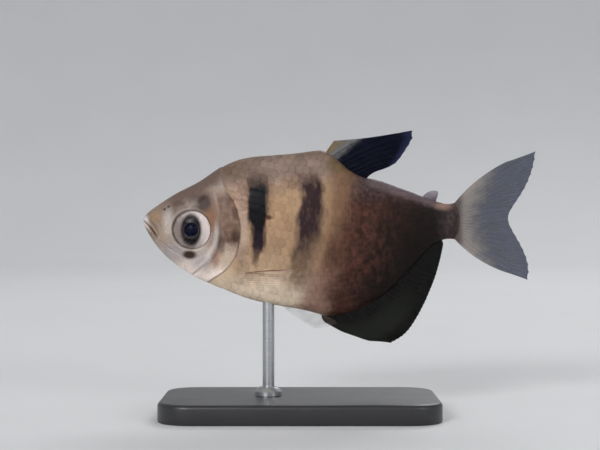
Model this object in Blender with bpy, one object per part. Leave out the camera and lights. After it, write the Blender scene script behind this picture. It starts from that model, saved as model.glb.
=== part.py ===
"""A black skirt tetra at life size, swimming level above a plain display stand.

The fish faces -X, its left side faces -Y and +Z is up. The origin is the middle of the
stand's underside. Every size below is in millimetres, and new_object() turns them into
Blender's metres. The body is one smooth loft, parted by thin cuts along the lines where
a fish keeper would name its parts. Each fin is a membrane with its rays raised on both
faces, and its root is cut to the shape of the body that it grows from.
"""

import math

import bmesh
import bpy
import numpy as np
from mathutils import Matrix, Vector

# Driving sizes
MM = 0.001
GAP = 0.3
WELD = 0.004
SPINE = 29.5
FAR = 12.0

# The body's sections from snout to tail base:
# x, top, bottom, half width, crown and keel. Crown and keel are the exponents that pinch
# the section above and below the spine: under 1 is full, over 1 is drawn to a ridge.
SECTIONS = np.array(
    [
        (-23.70, 30.15, 29.05, 0.60, 0.90, 0.90),
        (-23.35, 30.62, 28.20, 1.05, 0.90, 0.90),
        (-22.60, 31.28, 26.95, 1.50, 0.88, 0.92),
        (-21.00, 32.40, 24.85, 2.15, 0.85, 0.95),
        (-18.40, 34.00, 22.60, 2.80, 0.85, 0.98),
        (-15.30, 35.60, 20.80, 3.35, 0.90, 1.00),
        (-12.00, 37.82, 19.30, 3.80, 0.98, 1.00),
        (-8.40, 39.25, 17.80, 4.10, 1.08, 1.00),
        (-4.00, 39.72, 16.72, 4.25, 1.15, 1.00),
        (0.30, 40.12, 16.00, 4.15, 1.18, 1.08),
        (3.20, 40.42, 15.20, 3.98, 1.18, 1.20),
        (4.90, 39.70, 15.10, 3.80, 1.15, 1.28),
        (7.00, 37.85, 15.42, 3.55, 1.05, 1.33),
        (9.20, 36.50, 16.25, 3.20, 1.00, 1.35),
        (11.40, 36.05, 17.30, 2.85, 1.00, 1.35),
        (14.00, 35.20, 19.15, 2.40, 1.00, 1.30),
        (17.30, 34.00, 22.60, 1.85, 0.98, 1.20),
        (20.30, 32.85, 25.75, 1.45, 0.95, 1.05),
        (22.60, 32.33, 26.72, 1.10, 0.95, 0.95),
        (24.40, 32.45, 26.70, 0.70, 0.95, 0.95),
    ]
)
BODY_RINGS = 44
BODY_SIDES = 36

# The tail sweeps gently to the fish's right, from the middle of the body to the fin tips.
SWEEP_FROM = 0.0
SWEEP_LENGTH = 36.3
SWEEP = 2.4

# Lines on the side of the head, as (x, z)
GILL_EDGE = [
    (-13.0, 43.0),
    (-12.4, 38.9),
    (-12.0, 36.1),
    (-11.2, 34.0),
    (-10.0, 32.5),
    (-9.25, 30.6),
    (-8.95, 28.5),
    (-9.1, 26.3),
    (-9.7, 24.2),
    (-11.1, 22.3),
    (-13.1, 20.9),
    (-15.3, 19.4),
    (-17.5, 17.0),
]
CHEEK_EDGE = [
    (-12.9, 32.9),
    (-12.3, 30.5),
    (-12.1, 28.2),
    (-12.4, 25.9),
    (-13.5, 23.8),
    (-15.1, 22.2),
    (-17.4, 20.6),
]
GILL_TOP = 34.2
GILL_SWELL = 0.25
GILL_THICK = 1.2
MOUTH_TIP = (-25.0, 29.8)
MOUTH_LINE = [(-23.4, 29.5), (-22.6, 28.55), (-21.9, 27.65), (-21.3, 26.9)]
JAW_HINGE = (-18.0, 24.2)
JAW_THROAT = (-16.9, 20.0)
LIP_RADIUS = 0.30
LIP_FRONT_X = -23.62
MAXILLA = [(-22.35, 29.75), (-21.6, 28.75), (-20.9, 27.6), (-20.55, 26.8)]
MAXILLA_BEAD = 0.34
NOSTRILS = [(-20.45, 31.35), (-19.85, 31.75)]
NOSTRIL_PROFILE = [(0, -0.45), (0.18, -0.45), (0.26, 0.0), (0.26, 1.0), (0, 1.0)]

# Eye
EYE = (-16.35, 28.25)
EYE_RADIUS = 2.88
ORBIT_RADIUS = EYE_RADIUS + GAP + 0.16
ORBIT_BEAD = 0.24
EYE_SUNK = 0.30
EYE_DEPTH = 1.45
EYE_DOME = 0.62
PUPIL_RADIUS = 1.08
PUPIL_RISE = 0.14

# Fins
RAY_THICK = 0.95
WEB_THICK = 0.55
EDGE_THICK = 0.34
ROOT_SUNK = 1.3
DORSAL_BASE = [(3.25, 40.1), (5.0, 38.7), (7.2, 37.2), (9.5, 36.25)]
DORSAL_FRONT = [(5.2, 41.8), (10.6, 42.3)]
DORSAL_REAR = [
    (17.15, 43.4),
    (17.2, 42.3),
    (16.5, 41.0),
    (15.5, 39.5),
    (14.5, 38.35),
    (13.0, 37.6),
    (11.4, 37.1),
]
ANAL_FRONT = [(5.3, 13.75), (7.7, 12.35), (10.6, 11.3)]
ANAL_REAR = [(13.9, 11.0), (16.4, 12.75), (18.7, 16.4), (20.4, 20.3), (21.4, 23.6), (21.9, 26.1)]
ANAL_SPAN = (3.5, 21.4)
CAUDAL_ROOT = [(23.3, 31.9), (23.6, 29.5), (23.4, 27.1)]
CAUDAL_TOP = (31.5, 38.6)
CAUDAL_REAR = [
    (36.25, 40.3),
    (35.9, 38.0),
    (34.7, 34.9),
    (32.7, 31.8),
    (31.95, 29.9),
    (32.8, 27.9),
    (34.4, 25.0),
    (35.2, 22.4),
    (35.0, 20.55),
]
CAUDAL_BOTTOM = (31.2, 21.85)
ADIPOSE = [(18.6, 33.1), (19.3, 33.8), (20.3, 34.2), (21.1, 34.1), (21.0, 33.5), (20.5, 32.8)]
PECTORAL_BASE = (-8.6, 20.95)
PECTORAL_LENGTH = 9.0
PELVIC_BASE = (-1.4, 16.7)
PELVIC_LENGTH = 7.7

# Stand
BASE_HALF_LENGTH = 21.0
BASE_HALF_WIDTH = 12.0
BASE_CORNER = 5.0
BASE_TALL = 3.0
BASE_BEVEL = 0.5
ROD_X = -4.8
ROD_RADIUS = 0.9
ROD_IN_BODY = 2.4
ROD_IN_BASE = 1.5
COLLAR_RADIUS = 2.0
COLLAR_TALL = 1.1


def clear_scene():
    for old in list(bpy.data.objects):
        bpy.data.objects.remove(old)


def material(name, colour, roughness, metallic=0.0):
    """A plain Principled BSDF."""
    made = bpy.data.materials.new(name)
    made.use_nodes = True
    shader = made.node_tree.nodes["Principled BSDF"]
    shader.inputs["Base Color"].default_value = (*colour, 1.0)
    shader.inputs["Roughness"].default_value = roughness
    shader.inputs["Metallic"].default_value = metallic
    return made


def new_object(name, points, faces):
    """A mesh object from points in millimetres, with every face turned outwards."""
    mesh = bpy.data.meshes.new(name)
    mesh.from_pydata([Vector(p) * MM for p in points], [], faces)
    work = bmesh.new()
    work.from_mesh(mesh)
    bmesh.ops.recalc_face_normals(work, faces=work.faces)
    work.to_mesh(mesh)
    work.free()
    made = bpy.data.objects.new(name, mesh)
    bpy.context.scene.collection.objects.link(made)
    return made


def spline(values):
    """A natural cubic spline through the rows of values, as a function of the row number."""
    values = np.asarray(values, float)
    count = len(values)
    system = np.eye(count)
    pull = np.zeros_like(values)
    for i in range(1, count - 1):
        system[i, i - 1 : i + 2] = (1, 4, 1)
        pull[i] = 6 * (values[i - 1] - 2 * values[i] + values[i + 1])
    bend = np.linalg.solve(system, pull)

    def at(t):
        i = min(max(int(t), 0), count - 2)
        f = t - i
        g = 1 - f
        return g * values[i] + f * values[i + 1] + ((g**3 - g) * bend[i] + (f**3 - f) * bend[i + 1]) / 6

    return at


def spread(values, count):
    """Points at even distances along the smooth curve through values."""
    curve = spline(values)
    fine = np.array([curve(t) for t in np.linspace(0, len(values) - 1, 40 * len(values))])
    run = np.concatenate([[0], np.cumsum(np.linalg.norm(np.diff(fine, axis=0), axis=1))])
    places = np.linspace(0, run[-1], count)
    return np.stack([np.interp(places, run, fine[:, k]) for k in range(fine.shape[1])], axis=1)


body_at = spline(SECTIONS)
BODY_T = np.linspace(0, len(SECTIONS) - 1, 900)
BODY_ROWS = np.array([body_at(t) for t in BODY_T])


def section(x):
    """Top, bottom, half width, crown and keel of the body at x."""
    return [np.interp(x, BODY_ROWS[:, 0], BODY_ROWS[:, k]) for k in range(1, 6)]


def side_y(x, z):
    """The body's half width at a place on its side."""
    top, bottom, half, crown, keel = section(x)
    above = z > SPINE
    share = (z - SPINE) / (top - SPINE if above else SPINE - bottom)
    return half * max(0.0, 1 - share * share) ** ((crown if above else keel) / 2)


def loft(name, grow=0.0):
    """The whole body as one closed surface, grown outwards by some millimetres."""
    middle = (SECTIONS[0, 0] + SECTIONS[-1, 0]) / 2
    reach = (SECTIONS[-1, 0] - SECTIONS[0, 0]) / 2
    points = []
    for t in np.linspace(0, len(SECTIONS) - 1, BODY_RINGS):
        x, top, bottom, half, crown, keel = body_at(t)
        x += grow * (x - middle) / reach
        for k in range(BODY_SIDES):
            turn = 2 * math.pi * (k + 0.5) / BODY_SIDES
            across, up = math.cos(turn), math.sin(turn)
            y = math.copysign(abs(across) ** (crown if up > 0 else keel), across) * (half + grow)
            z = SPINE + up * ((top - SPINE if up > 0 else SPINE - bottom) + grow)
            points.append((x, y, z))
    faces = [list(range(BODY_SIDES)), list(range(len(points) - BODY_SIDES, len(points)))]
    for ring in range(BODY_RINGS - 1):
        for k in range(BODY_SIDES):
            a = ring * BODY_SIDES + k
            b = ring * BODY_SIDES + (k + 1) % BODY_SIDES
            faces.append((a, b, b + BODY_SIDES, a + BODY_SIDES))
    return new_object(name, points, faces)


def prism(name, outline, low=-FAR, high=FAR):
    """A side-view outline of (x, z) points, made solid from y = low to y = high."""
    count = len(outline)
    points = [(x, y, z) for y in (low, high) for x, z in outline]
    faces = [list(range(count)), list(range(count, 2 * count))]
    faces += [(k, (k + 1) % count, count + (k + 1) % count, count + k) for k in range(count)]
    return new_object(name, points, faces)


def turned(name, profile, sides=28):
    """A closed lathe shape about the Z axis, from (radius, height) points, pole to pole."""
    points, rings = [], []
    for radius, height in profile:
        count = 1 if radius == 0 else sides
        rings.append(list(range(len(points), len(points) + count)))
        for k in range(count):
            turn = 2 * math.pi * k / sides
            points.append((radius * math.cos(turn), radius * math.sin(turn), height))
    faces = []
    for a, b in zip(rings, rings[1:]):
        for k in range(sides):
            corners = [a[k % len(a)], a[(k + 1) % len(a)], b[(k + 1) % len(b)], b[k % len(b)]]
            faces.append(list(dict.fromkeys(corners)))
    return new_object(name, points, faces)


def tube(name, path, radii, guide, sides=10, closed=False):
    """A round tube along a path, with flat ends or closed into a ring. The guide never runs along it."""
    points, faces = [], []
    path = [Vector(p) for p in path]
    last = len(path) - 1
    for i, (place, radius) in enumerate(zip(path, radii)):
        before = path[i - 1] if closed or i else path[0]
        after = path[(i + 1) % len(path)] if closed else path[min(i + 1, last)]
        along = (after - before).normalized()
        first = along.cross(Vector(guide)).normalized()
        second = along.cross(first)
        for k in range(sides):
            turn = 2 * math.pi * k / sides
            points.append(place + radius * (math.cos(turn) * first + math.sin(turn) * second))
    if not closed:
        faces = [list(range(sides)), list(range(len(points) - sides, len(points)))]
    for i in range(len(path) if closed else last):
        for k in range(sides):
            a, b = i * sides + k, i * sides + (k + 1) % sides
            c, d = (i + 1) % len(path) * sides + (k + 1) % sides, (i + 1) % len(path) * sides + k
            faces.append((a, b, c, d))
    return new_object(name, points, faces)


def boolean(target, operation, other):
    """Adds an exact Boolean with one hidden helper."""
    other.hide_render = True
    other.display_type = "WIRE"
    step = target.modifiers.new(other.name, "BOOLEAN")
    step.operation = operation
    step.object = other
    return target


def largest_part(mesh):
    """Welds the specks that a Boolean leaves and keeps the mesh's largest closed surface."""
    work = bmesh.new()
    work.from_mesh(mesh)
    bmesh.ops.remove_doubles(work, verts=work.verts, dist=WELD * MM)
    left, parts = set(work.faces), []
    while left:
        front = [left.pop()]
        part = list(front)
        while front:
            for edge in front.pop().edges:
                for face in edge.link_faces:
                    if face in left:
                        left.remove(face)
                        front.append(face)
                        part.append(face)
        parts.append(part)
    parts.sort(key=lambda part: sum(face.calc_area() for face in part))
    loose = [face for part in parts[:-1] for face in part]
    bmesh.ops.delete(work, geom=loose, context="FACES")
    work.to_mesh(mesh)
    work.free()


def sweep(x):
    """How far the swimming bend carries a place sideways."""
    share = max(0.0, x - SWEEP_FROM) / SWEEP_LENGTH
    return SWEEP * share * share


def settle(made, look, bent=True):
    """Applies the Booleans, keeps one body, bends it with the swimming pose and shades it."""
    bpy.context.view_layer.update()
    graph = bpy.context.evaluated_depsgraph_get()
    mesh = bpy.data.meshes.new_from_object(made.evaluated_get(graph))
    made.modifiers.clear()
    made.data = mesh
    largest_part(mesh)
    if bent:
        for vertex in mesh.vertices:
            vertex.co.y += sweep(vertex.co.x / MM) * MM
    mesh.materials.clear()
    mesh.materials.append(look)
    mesh.shade_smooth()
    mesh.set_sharp_from_angle(angle=math.radians(35))
    return made


def remove_helpers():
    for old in list(bpy.data.objects):
        if old.hide_render:
            bpy.data.objects.remove(old)


def shifted(outline, distance):
    """A side-view line moved sideways by a distance, to the left of its own direction."""
    line = np.asarray(outline, float)
    along = np.gradient(line, axis=0)
    along /= np.linalg.norm(along, axis=1)[:, None]
    return line + distance * np.stack([-along[:, 1], along[:, 0]], axis=1)


def placed(made, origin, direction):
    """Turns a lathe shape's Z axis to a direction and moves it to a place."""
    turn = Vector(direction).to_track_quat("Z", "Y").to_matrix().to_4x4()
    made.data.transform(Matrix.Translation(Vector(origin) * MM) @ turn)
    return made


def surface_normal(x, z, side):
    """The outward direction of the body's side at (x, z)."""
    step = 0.4
    slope_x = (side_y(x + step, z) - side_y(x - step, z)) / (2 * step)
    slope_z = (side_y(x, z + step) - side_y(x, z - step)) / (2 * step)
    return Vector((-slope_x, side, -slope_z)).normalized()


def gill_line(count=26):
    """The rear rim of the gill covers and of the head, from nape to throat."""
    return spread(GILL_EDGE, count)


def gill_cover_outline(margin):
    """The gill cover in side view, grown forwards by a margin; its rear rim runs past the gill line."""
    rim = gill_line(40)
    rim = rim[(rim[:, 1] < GILL_TOP) & (rim[:, 1] > 18.5)]
    cheek = shifted(spread(CHEEK_EDGE, 14), -margin)
    top = cheek[0] + (0.5, 1.0 + margin)
    if margin:
        rim = shifted(rim, 1.5)
        rim[0, 1] += 2 * margin
    else:
        rim = shifted(rim, -GAP / 2)
    return [tuple(p) for p in rim] + [tuple(p) for p in cheek[::-1]] + [tuple(top)]


def jaw_outline(grow):
    """The lower jaw in side view, grown by some millimetres at its upper and rear edges."""
    upper = [MOUTH_TIP, *MOUTH_LINE, JAW_HINGE, JAW_THROAT]
    upper = shifted(upper, grow)
    return [tuple(p) for p in upper] + [(-19.0, 16.0), (-28.0, 16.0), (-28.0, upper[0][1])]


def lip(name, offset, front_z):
    """One lip, a bead that follows the rim of the mouth round the snout from corner to corner."""
    rim = shifted(spread(MOUTH_LINE, 5), offset)[1:]
    right = [(x, side_y(x, z) - 0.1, z) for x, z in rim]
    path = [(x, -y, z) for x, y, z in right[::-1]] + [(LIP_FRONT_X, 0.0, front_z)] + right
    path = spread(path, 15)
    radii = [LIP_RADIUS * (0.5 + 0.5 * math.sin(math.pi * i / 14)) for i in range(15)]
    return tube(name, path, radii, (0, 0, 1))


def orbit_rim(name, side):
    """The raised ring of skin round the eye, laid on the side of the head."""
    path = []
    for k in range(24):
        turn = 2 * math.pi * k / 24
        x, z = EYE[0] + ORBIT_RADIUS * math.cos(turn), EYE[1] + ORBIT_RADIUS * math.sin(turn)
        path.append((x, side * side_y(x, z), z))
    return tube(name, path, [ORBIT_BEAD] * 24, (0, 1, 0), 8, closed=True)


def maxilla(name, side):
    """The upper jaw's hind bone, a slim bead from the snout down behind the corner of the mouth."""
    path = [(x, side * (side_y(x, z) - 0.08), z) for x, z in spread(MAXILLA, 7)]
    radii = [MAXILLA_BEAD * (0.45 + 0.55 * math.sin(math.pi * (0.1 + 0.8 * i / 6))) for i in range(7)]
    return tube(name, path, radii, (0, 1, 0), 8)


def make_head(look):
    """Skull, snout and upper jaw, with the eye sockets, nostrils and the seats of the gill covers."""
    head = loft("head")
    region = [tuple(p) for p in shifted(gill_line(), -GAP / 2)] + [(-30.0, 15.0), (-30.0, 45.0)]
    boolean(head, "INTERSECT", prism("head_region", region))
    boolean(head, "DIFFERENCE", prism("jaw_seat", jaw_outline(GAP)))
    for side in (-1, 1):
        boolean(head, "UNION", orbit_rim(f"orbit_{side}", side))
        boolean(head, "UNION", maxilla(f"maxilla_{side}", side))
        reach = (0.9, FAR) if side > 0 else (-FAR, -0.9)
        seat = prism(f"gill_seat_{side}", gill_cover_outline(GAP), *reach)
        boolean(seat, "DIFFERENCE", loft(f"gill_floor_{side}", GILL_SWELL - GILL_THICK - GAP))
        boolean(head, "DIFFERENCE", seat)
        boolean(head, "DIFFERENCE", eye_shape(f"socket_{side}", side, GAP))
        for n, (x, z) in enumerate(NOSTRILS):
            pit = turned(f"nostril_{side}_{n}", NOSTRIL_PROFILE, 10)
            placed(pit, (x, side * side_y(x, z), z), surface_normal(x, z, side))
            boolean(head, "DIFFERENCE", pit)
    return settle(boolean(head, "UNION", lip("upper_lip", GAP / 2 + LIP_RADIUS, 29.95)), look)


def make_lower_jaw(look):
    jaw = loft("lower_jaw")
    boolean(jaw, "INTERSECT", prism("jaw_region", jaw_outline(0.0)))
    return settle(boolean(jaw, "UNION", lip("lower_lip", -GAP / 2 - LIP_RADIUS, 29.05)), look)


def make_gill_cover(side, look):
    """A curved plate of even thickness, standing a little proud of the flank behind it."""
    name = "left" if side < 0 else "right"
    cover = loft(f"gill_cover_{name}", GILL_SWELL)
    reach = (1.2, FAR) if side > 0 else (-FAR, -1.2)
    boolean(cover, "INTERSECT", prism(f"cover_region_{name}", gill_cover_outline(0.0), *reach))
    boolean(cover, "DIFFERENCE", loft(f"cover_hollow_{name}", GILL_SWELL - GILL_THICK))
    return settle(cover, look)


def eye_shape(name, side, grow=0.0):
    """The flattened eyeball, with a domed front and the bulge of the lens. A socket is grown and open."""
    radius, depth = EYE_RADIUS + grow, EYE_DEPTH + grow
    back = [math.radians(a) for a in (90, 65, 42, 22, 8)]
    profile = [(radius * math.cos(a) if a < 1.5 else 0, -depth * math.sin(a)) for a in back]
    if grow:
        profile += [(radius, 0.0), (radius + 0.25, 2.5), (0, 2.5)]
    else:
        rise = EYE_DOME / (1 - (PUPIL_RADIUS / EYE_RADIUS) ** 2)
        profile += [(r, rise * (1 - (r / radius) ** 2)) for r in (radius, 2.5, 1.9, PUPIL_RADIUS + 0.1)]
        lens = EYE_DOME + PUPIL_RISE
        profile += [(PUPIL_RADIUS, EYE_DOME + 0.5 * PUPIL_RISE), (0.6, lens + 0.1), (0, lens + 0.15)]
    x, z = EYE
    out = surface_normal(x, z, side)
    return placed(turned(name, profile), Vector((x, side * side_y(x, z), z)) - EYE_SUNK * out, out)


def make_trunk(look):
    """The body from the gill opening to behind the dorsal fin, with the socket for the stand's rod."""
    trunk = loft("trunk")
    front = [tuple(p) for p in shifted(gill_line(), GAP / 2)]
    boolean(trunk, "INTERSECT", prism("trunk_region", front + tail_cut(-GAP / 2)[::-1]))
    wide, tall = ROD_RADIUS + GAP, rod_top() + GAP
    socket = turned("rod_socket", [(0, 10), (wide, 10), (wide, tall), (0, tall)])
    socket.data.transform(Matrix.Translation((ROD_X * MM, 0, 0)))
    return settle(boolean(trunk, "DIFFERENCE", socket), look)


def tail_cut(offset):
    """The line between trunk and tail stalk, top to bottom."""
    return [(16.6 + offset, 44.0), (18.0 + offset, 10.0)]


def make_tail_stalk(look):
    stalk = loft("tail_stalk")
    region = tail_cut(GAP / 2) + [(40.0, 10.0), (40.0, 44.0)]
    return settle(boolean(stalk, "INTERSECT", prism("stalk_region", region)), look)


def upright(point, offset):
    """Places a point of a fin that stands in the body's middle plane."""
    return (point[0], offset, point[1])


def fin_mesh(name, roots, tips, bows, place=upright, rows=8):
    """A membrane with its rays raised on both faces. Roots and tips are in the fin's own plane."""
    roots, tips = np.asarray(roots, float), np.asarray(tips, float)
    columns = 2 * len(roots) - 1
    heads, thick = [], []
    for j in range(columns):
        i, web = divmod(j, 2)
        k = min(i + web, len(roots) - 1)
        root, tip, bow = (roots[i] + roots[k]) / 2, (tips[i] + tips[k]) / 2, (bows[i] + bows[k]) / 2
        along = tip - root
        across = np.array([-along[1], along[0]]) / np.linalg.norm(along)
        line, widths = [], []
        for t in np.linspace(0, 1, rows):
            line.append(root + along * t * (1 - 0.012 * web) + across * bow * 4 * t * (1 - t))
            ridge = RAY_THICK + (WEB_THICK - RAY_THICK) * t
            widths.append(EDGE_THICK if t == 1 else (WEB_THICK if web else ridge))
        heads.append(line)
        thick.append(widths)
    points, index = [], {}
    for face in (1, -1):
        for j in range(columns):
            for i in range(rows):
                index[face, j, i] = len(points)
                points.append(place(heads[j][i], face * thick[j][i] / 2))
    faces = []
    for j in range(columns - 1):
        for i in range(rows - 1):
            for face in (1, -1):
                a, b = index[face, j, i], index[face, j + 1, i]
                c, d = index[face, j + 1, i + 1], index[face, j, i + 1]
                faces += [(a, b, c), (a, c, d)] if j % 2 else [(a, b, d), (b, c, d)]
    rim = [(j, 0) for j in range(columns)] + [(columns - 1, i) for i in range(1, rows)]
    rim += [(j, rows - 1) for j in range(columns - 2, -1, -1)] + [(0, i) for i in range(rows - 2, 0, -1)]
    for (j, i), (m, n) in zip(rim, rim[1:] + rim[:1]):
        a, b, c, d = index[1, j, i], index[1, m, n], index[-1, m, n], index[-1, j, i]
        faces += [(a, b, c), (a, c, d)]
    return new_object(name, points, faces)


def rooted(fin, look):
    """Cuts the fin's root to the body's shape, a gap away from it."""
    return settle(boolean(fin, "DIFFERENCE", loft(fin.name + "_seat", GAP)), look)


def make_dorsal_fin(look):
    count = 11
    roots = spread(DORSAL_BASE, count)
    roots = roots + np.array([0.0, -ROOT_SUNK])
    tips = np.concatenate([DORSAL_FRONT, spread(DORSAL_REAR, count - 2)])
    bows = [0.1, 0.5] + [0.9 * (1 - i / count) for i in range(count - 2)]
    return rooted(fin_mesh("dorsal_fin", roots, tips, bows), look)


def make_anal_fin(look):
    count = 30
    stations = np.linspace(*ANAL_SPAN, count)
    roots = np.array([(x, section(x)[1] + ROOT_SUNK) for x in stations])
    tips = np.concatenate([ANAL_FRONT, spread(ANAL_REAR, count - 3)])
    bows = [-1.1 * (1 - i / (count - 1)) for i in range(count)]
    return rooted(fin_mesh("anal_fin", roots, tips, bows), look)


def make_caudal_fin(look):
    count = 21
    roots = spread(CAUDAL_ROOT, count)
    tips = np.concatenate([[CAUDAL_TOP], spread(CAUDAL_REAR, count - 2), [CAUDAL_BOTTOM]])
    bows = [0.6 - 1.2 * i / (count - 1) for i in range(count)]
    return rooted(fin_mesh("caudal_fin", roots, tips, bows), look)


def make_adipose_fin(look):
    """The small flap of flesh between the dorsal and tail fins; it has no rays."""
    line = [(x, z) for x, z in spread(ADIPOSE, 9)]
    line += [(line[-1][0] - 0.3, line[-1][1] - 1.2), (line[0][0] + 0.3, line[0][1] - 1.0)]
    flap = prism("adipose_fin", line, -WEB_THICK / 2, WEB_THICK / 2)
    return rooted(flap, look)


def paired_fin(name, side, base, length, fan, tilt, look, count):
    """A fin on one side of the body: it grows from base, leans out from the flank and points back."""
    x, z = base
    lean, droop = (math.radians(angle) for angle in tilt)
    origin = Vector((x, side * (side_y(x, z) - 0.2), z))
    back = Vector((math.cos(lean) * math.cos(droop), side * math.sin(lean), -math.sin(droop)))
    up = Vector((math.sin(droop), 0, math.cos(droop)))
    out = side * up.cross(back).normalized()

    def place(point, offset):
        return origin + back * point[0] + up * point[1] + out * (offset + 0.012 * point[0] ** 2)

    root_half, tip_half = fan
    roots = [(-ROOT_SUNK, root_half * (1 - 2 * i / (count - 1))) for i in range(count)]
    tips = []
    for i in range(count):
        share = i / (count - 1)
        tips.append((length * (1 - 0.35 * share**1.5), tip_half * (0.7 - 1.9 * share)))
    bows = [0.25 * (1 - 2 * i / (count - 1)) for i in range(count)]
    return rooted(fin_mesh(name, roots, tips, bows, place, 6), look)


def make_pectoral_fin(name, side, look):
    return paired_fin(name, side, PECTORAL_BASE, PECTORAL_LENGTH, (0.7, 1.4), (24, -3), look, 9)


def make_pelvic_fin(name, side, look):
    return paired_fin(name, side, PELVIC_BASE, PELVIC_LENGTH, (0.55, 1.2), (14, 24), look, 8)


def make_stand_base(look):
    """A flat plate with round corners and a soft upper edge, drilled for the rod."""
    outline = []
    for n, (cx, cy) in enumerate([(1, 1), (-1, 1), (-1, -1), (1, -1)]):
        for k in range(7):
            turn = math.radians(90 * n + 15 * k)
            outline.append(
                (
                    cx * (BASE_HALF_LENGTH - BASE_CORNER) + BASE_CORNER * math.cos(turn),
                    cy * (BASE_HALF_WIDTH - BASE_CORNER) + BASE_CORNER * math.sin(turn),
                )
            )
    count = len(outline)
    inner = 1 - BASE_BEVEL / BASE_HALF_WIDTH
    slim = 1 - BASE_BEVEL / BASE_HALF_LENGTH
    points = [(x, y, 0.0) for x, y in outline] + [(x, y, BASE_TALL - BASE_BEVEL) for x, y in outline]
    points += [(x * slim, y * inner, BASE_TALL) for x, y in outline]
    faces = [list(range(count)), list(range(2 * count, 3 * count))]
    for ring in (0, count):
        for k in range(count):
            a, b = ring + k, ring + (k + 1) % count
            faces.append((a, b, b + count, a + count))
    base = new_object("stand_base", points, faces)
    floor = BASE_TALL - ROD_IN_BASE
    hole = turned("rod_hole", [(0, floor), (ROD_RADIUS + GAP, floor), (ROD_RADIUS + GAP, 5), (0, 5)])
    hole.data.transform(Matrix.Translation((ROD_X * MM, 0, 0)))
    return settle(boolean(base, "DIFFERENCE", hole), look, bent=False)


def rod_top():
    """The height of the rod's upper end, inside the belly."""
    return section(ROD_X)[1] + ROD_IN_BODY


def make_stand_rod(look):
    foot, top = BASE_TALL - ROD_IN_BASE + GAP, rod_top()
    profile = [(0, foot), (ROD_RADIUS, foot), (ROD_RADIUS, top - 0.3), (ROD_RADIUS - 0.3, top), (0, top)]
    rod = turned("stand_rod", profile)
    rod.data.transform(Matrix.Translation((ROD_X * MM, 0, 0)))
    return settle(rod, look, bent=False)


def make_stand_collar(look):
    """The turned ring round the rod's foot."""
    inner, low = ROD_RADIUS + GAP, BASE_TALL + GAP
    top = low + COLLAR_TALL
    ring = [(inner, low), (COLLAR_RADIUS, low), (COLLAR_RADIUS, low + 0.5), (inner + 0.35, top), (inner, top)]
    points, faces, sides = [], [], 28
    for k in range(sides):
        turn = 2 * math.pi * k / sides
        points += [(r * math.cos(turn) + ROD_X, r * math.sin(turn), h) for r, h in ring]
    for k in range(sides):
        for i in range(len(ring)):
            a, b = k * len(ring) + i, k * len(ring) + (i + 1) % len(ring)
            c, d = ((k + 1) % sides) * len(ring) + (i + 1) % len(ring), ((k + 1) % sides) * len(ring) + i
            faces.append((a, b, c, d))
    return settle(new_object("stand_collar", points, faces), look, bent=False)


def main():
    clear_scene()
    skin = material("silver_skin", (0.46, 0.38, 0.30), 0.35)
    dark = material("dark_flank", (0.09, 0.06, 0.05), 0.4)
    clear = material("clear_fin", (0.40, 0.42, 0.44), 0.3)
    black = material("black_fin", (0.015, 0.015, 0.02), 0.4)
    iris = material("eye", (0.5, 0.48, 0.45), 0.15)
    steel = material("steel", (0.55, 0.55, 0.56), 0.3, 1.0)
    lacquer = material("lacquer", (0.02, 0.02, 0.022), 0.4)
    make_head(skin)
    make_lower_jaw(skin)
    make_trunk(skin)
    make_tail_stalk(dark)
    for side, name in ((-1, "left"), (1, "right")):
        make_gill_cover(side, skin)
        settle(eye_shape(f"eye_{name}", side), iris)
        make_pectoral_fin(f"pectoral_fin_{name}", side, clear)
        make_pelvic_fin(f"pelvic_fin_{name}", side, clear)
    make_dorsal_fin(black)
    make_adipose_fin(clear)
    make_anal_fin(black)
    make_caudal_fin(clear)
    make_stand_base(lacquer)
    make_stand_rod(steel)
    make_stand_collar(steel)
    remove_helpers()


main()
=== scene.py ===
# %% [markdown]
# # A black skirt tetra
# The CAD model gives this fish its size, its nodes and its stand. Here it gets what a fish
# keeper looks for: a head with a mouth, nostrils and gill covers, a coat of overlapping
# scales, dark bars, a clear tail and the long black skirt of the anal fin.
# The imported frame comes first. Nothing after it may grow past its box.

# %% Load the frame
import math

import bmesh
import bpy
import numpy as np
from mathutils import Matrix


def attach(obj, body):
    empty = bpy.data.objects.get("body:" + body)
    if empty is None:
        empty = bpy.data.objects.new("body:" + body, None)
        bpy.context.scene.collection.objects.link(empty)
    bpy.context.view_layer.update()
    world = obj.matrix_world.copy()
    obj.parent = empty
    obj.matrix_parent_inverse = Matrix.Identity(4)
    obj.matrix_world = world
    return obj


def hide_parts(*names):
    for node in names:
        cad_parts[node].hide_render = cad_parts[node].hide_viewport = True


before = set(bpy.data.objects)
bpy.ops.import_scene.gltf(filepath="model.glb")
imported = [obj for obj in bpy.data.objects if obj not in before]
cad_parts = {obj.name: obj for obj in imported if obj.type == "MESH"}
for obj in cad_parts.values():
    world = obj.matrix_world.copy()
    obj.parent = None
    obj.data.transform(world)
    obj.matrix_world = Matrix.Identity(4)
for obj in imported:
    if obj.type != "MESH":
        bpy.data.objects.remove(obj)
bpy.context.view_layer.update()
MM = 0.001
print("CAD nodes:", len(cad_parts))

# %% [markdown]
# The photo is a level side view with no scale cue, so the size comes from the species: 60 mm
# from snout to tail. That makes one photo pixel 0.1523 mm at the fish. A camera with a long
# lens at the matching distance then gives the photo's framing.

# %% Camera
MM_PER_PIXEL = 0.15228
PHOTO_WIDTH = 600
LENS, SENSOR = 85.0, 36.0
VIEW_HEIGHT = 28.97

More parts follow.
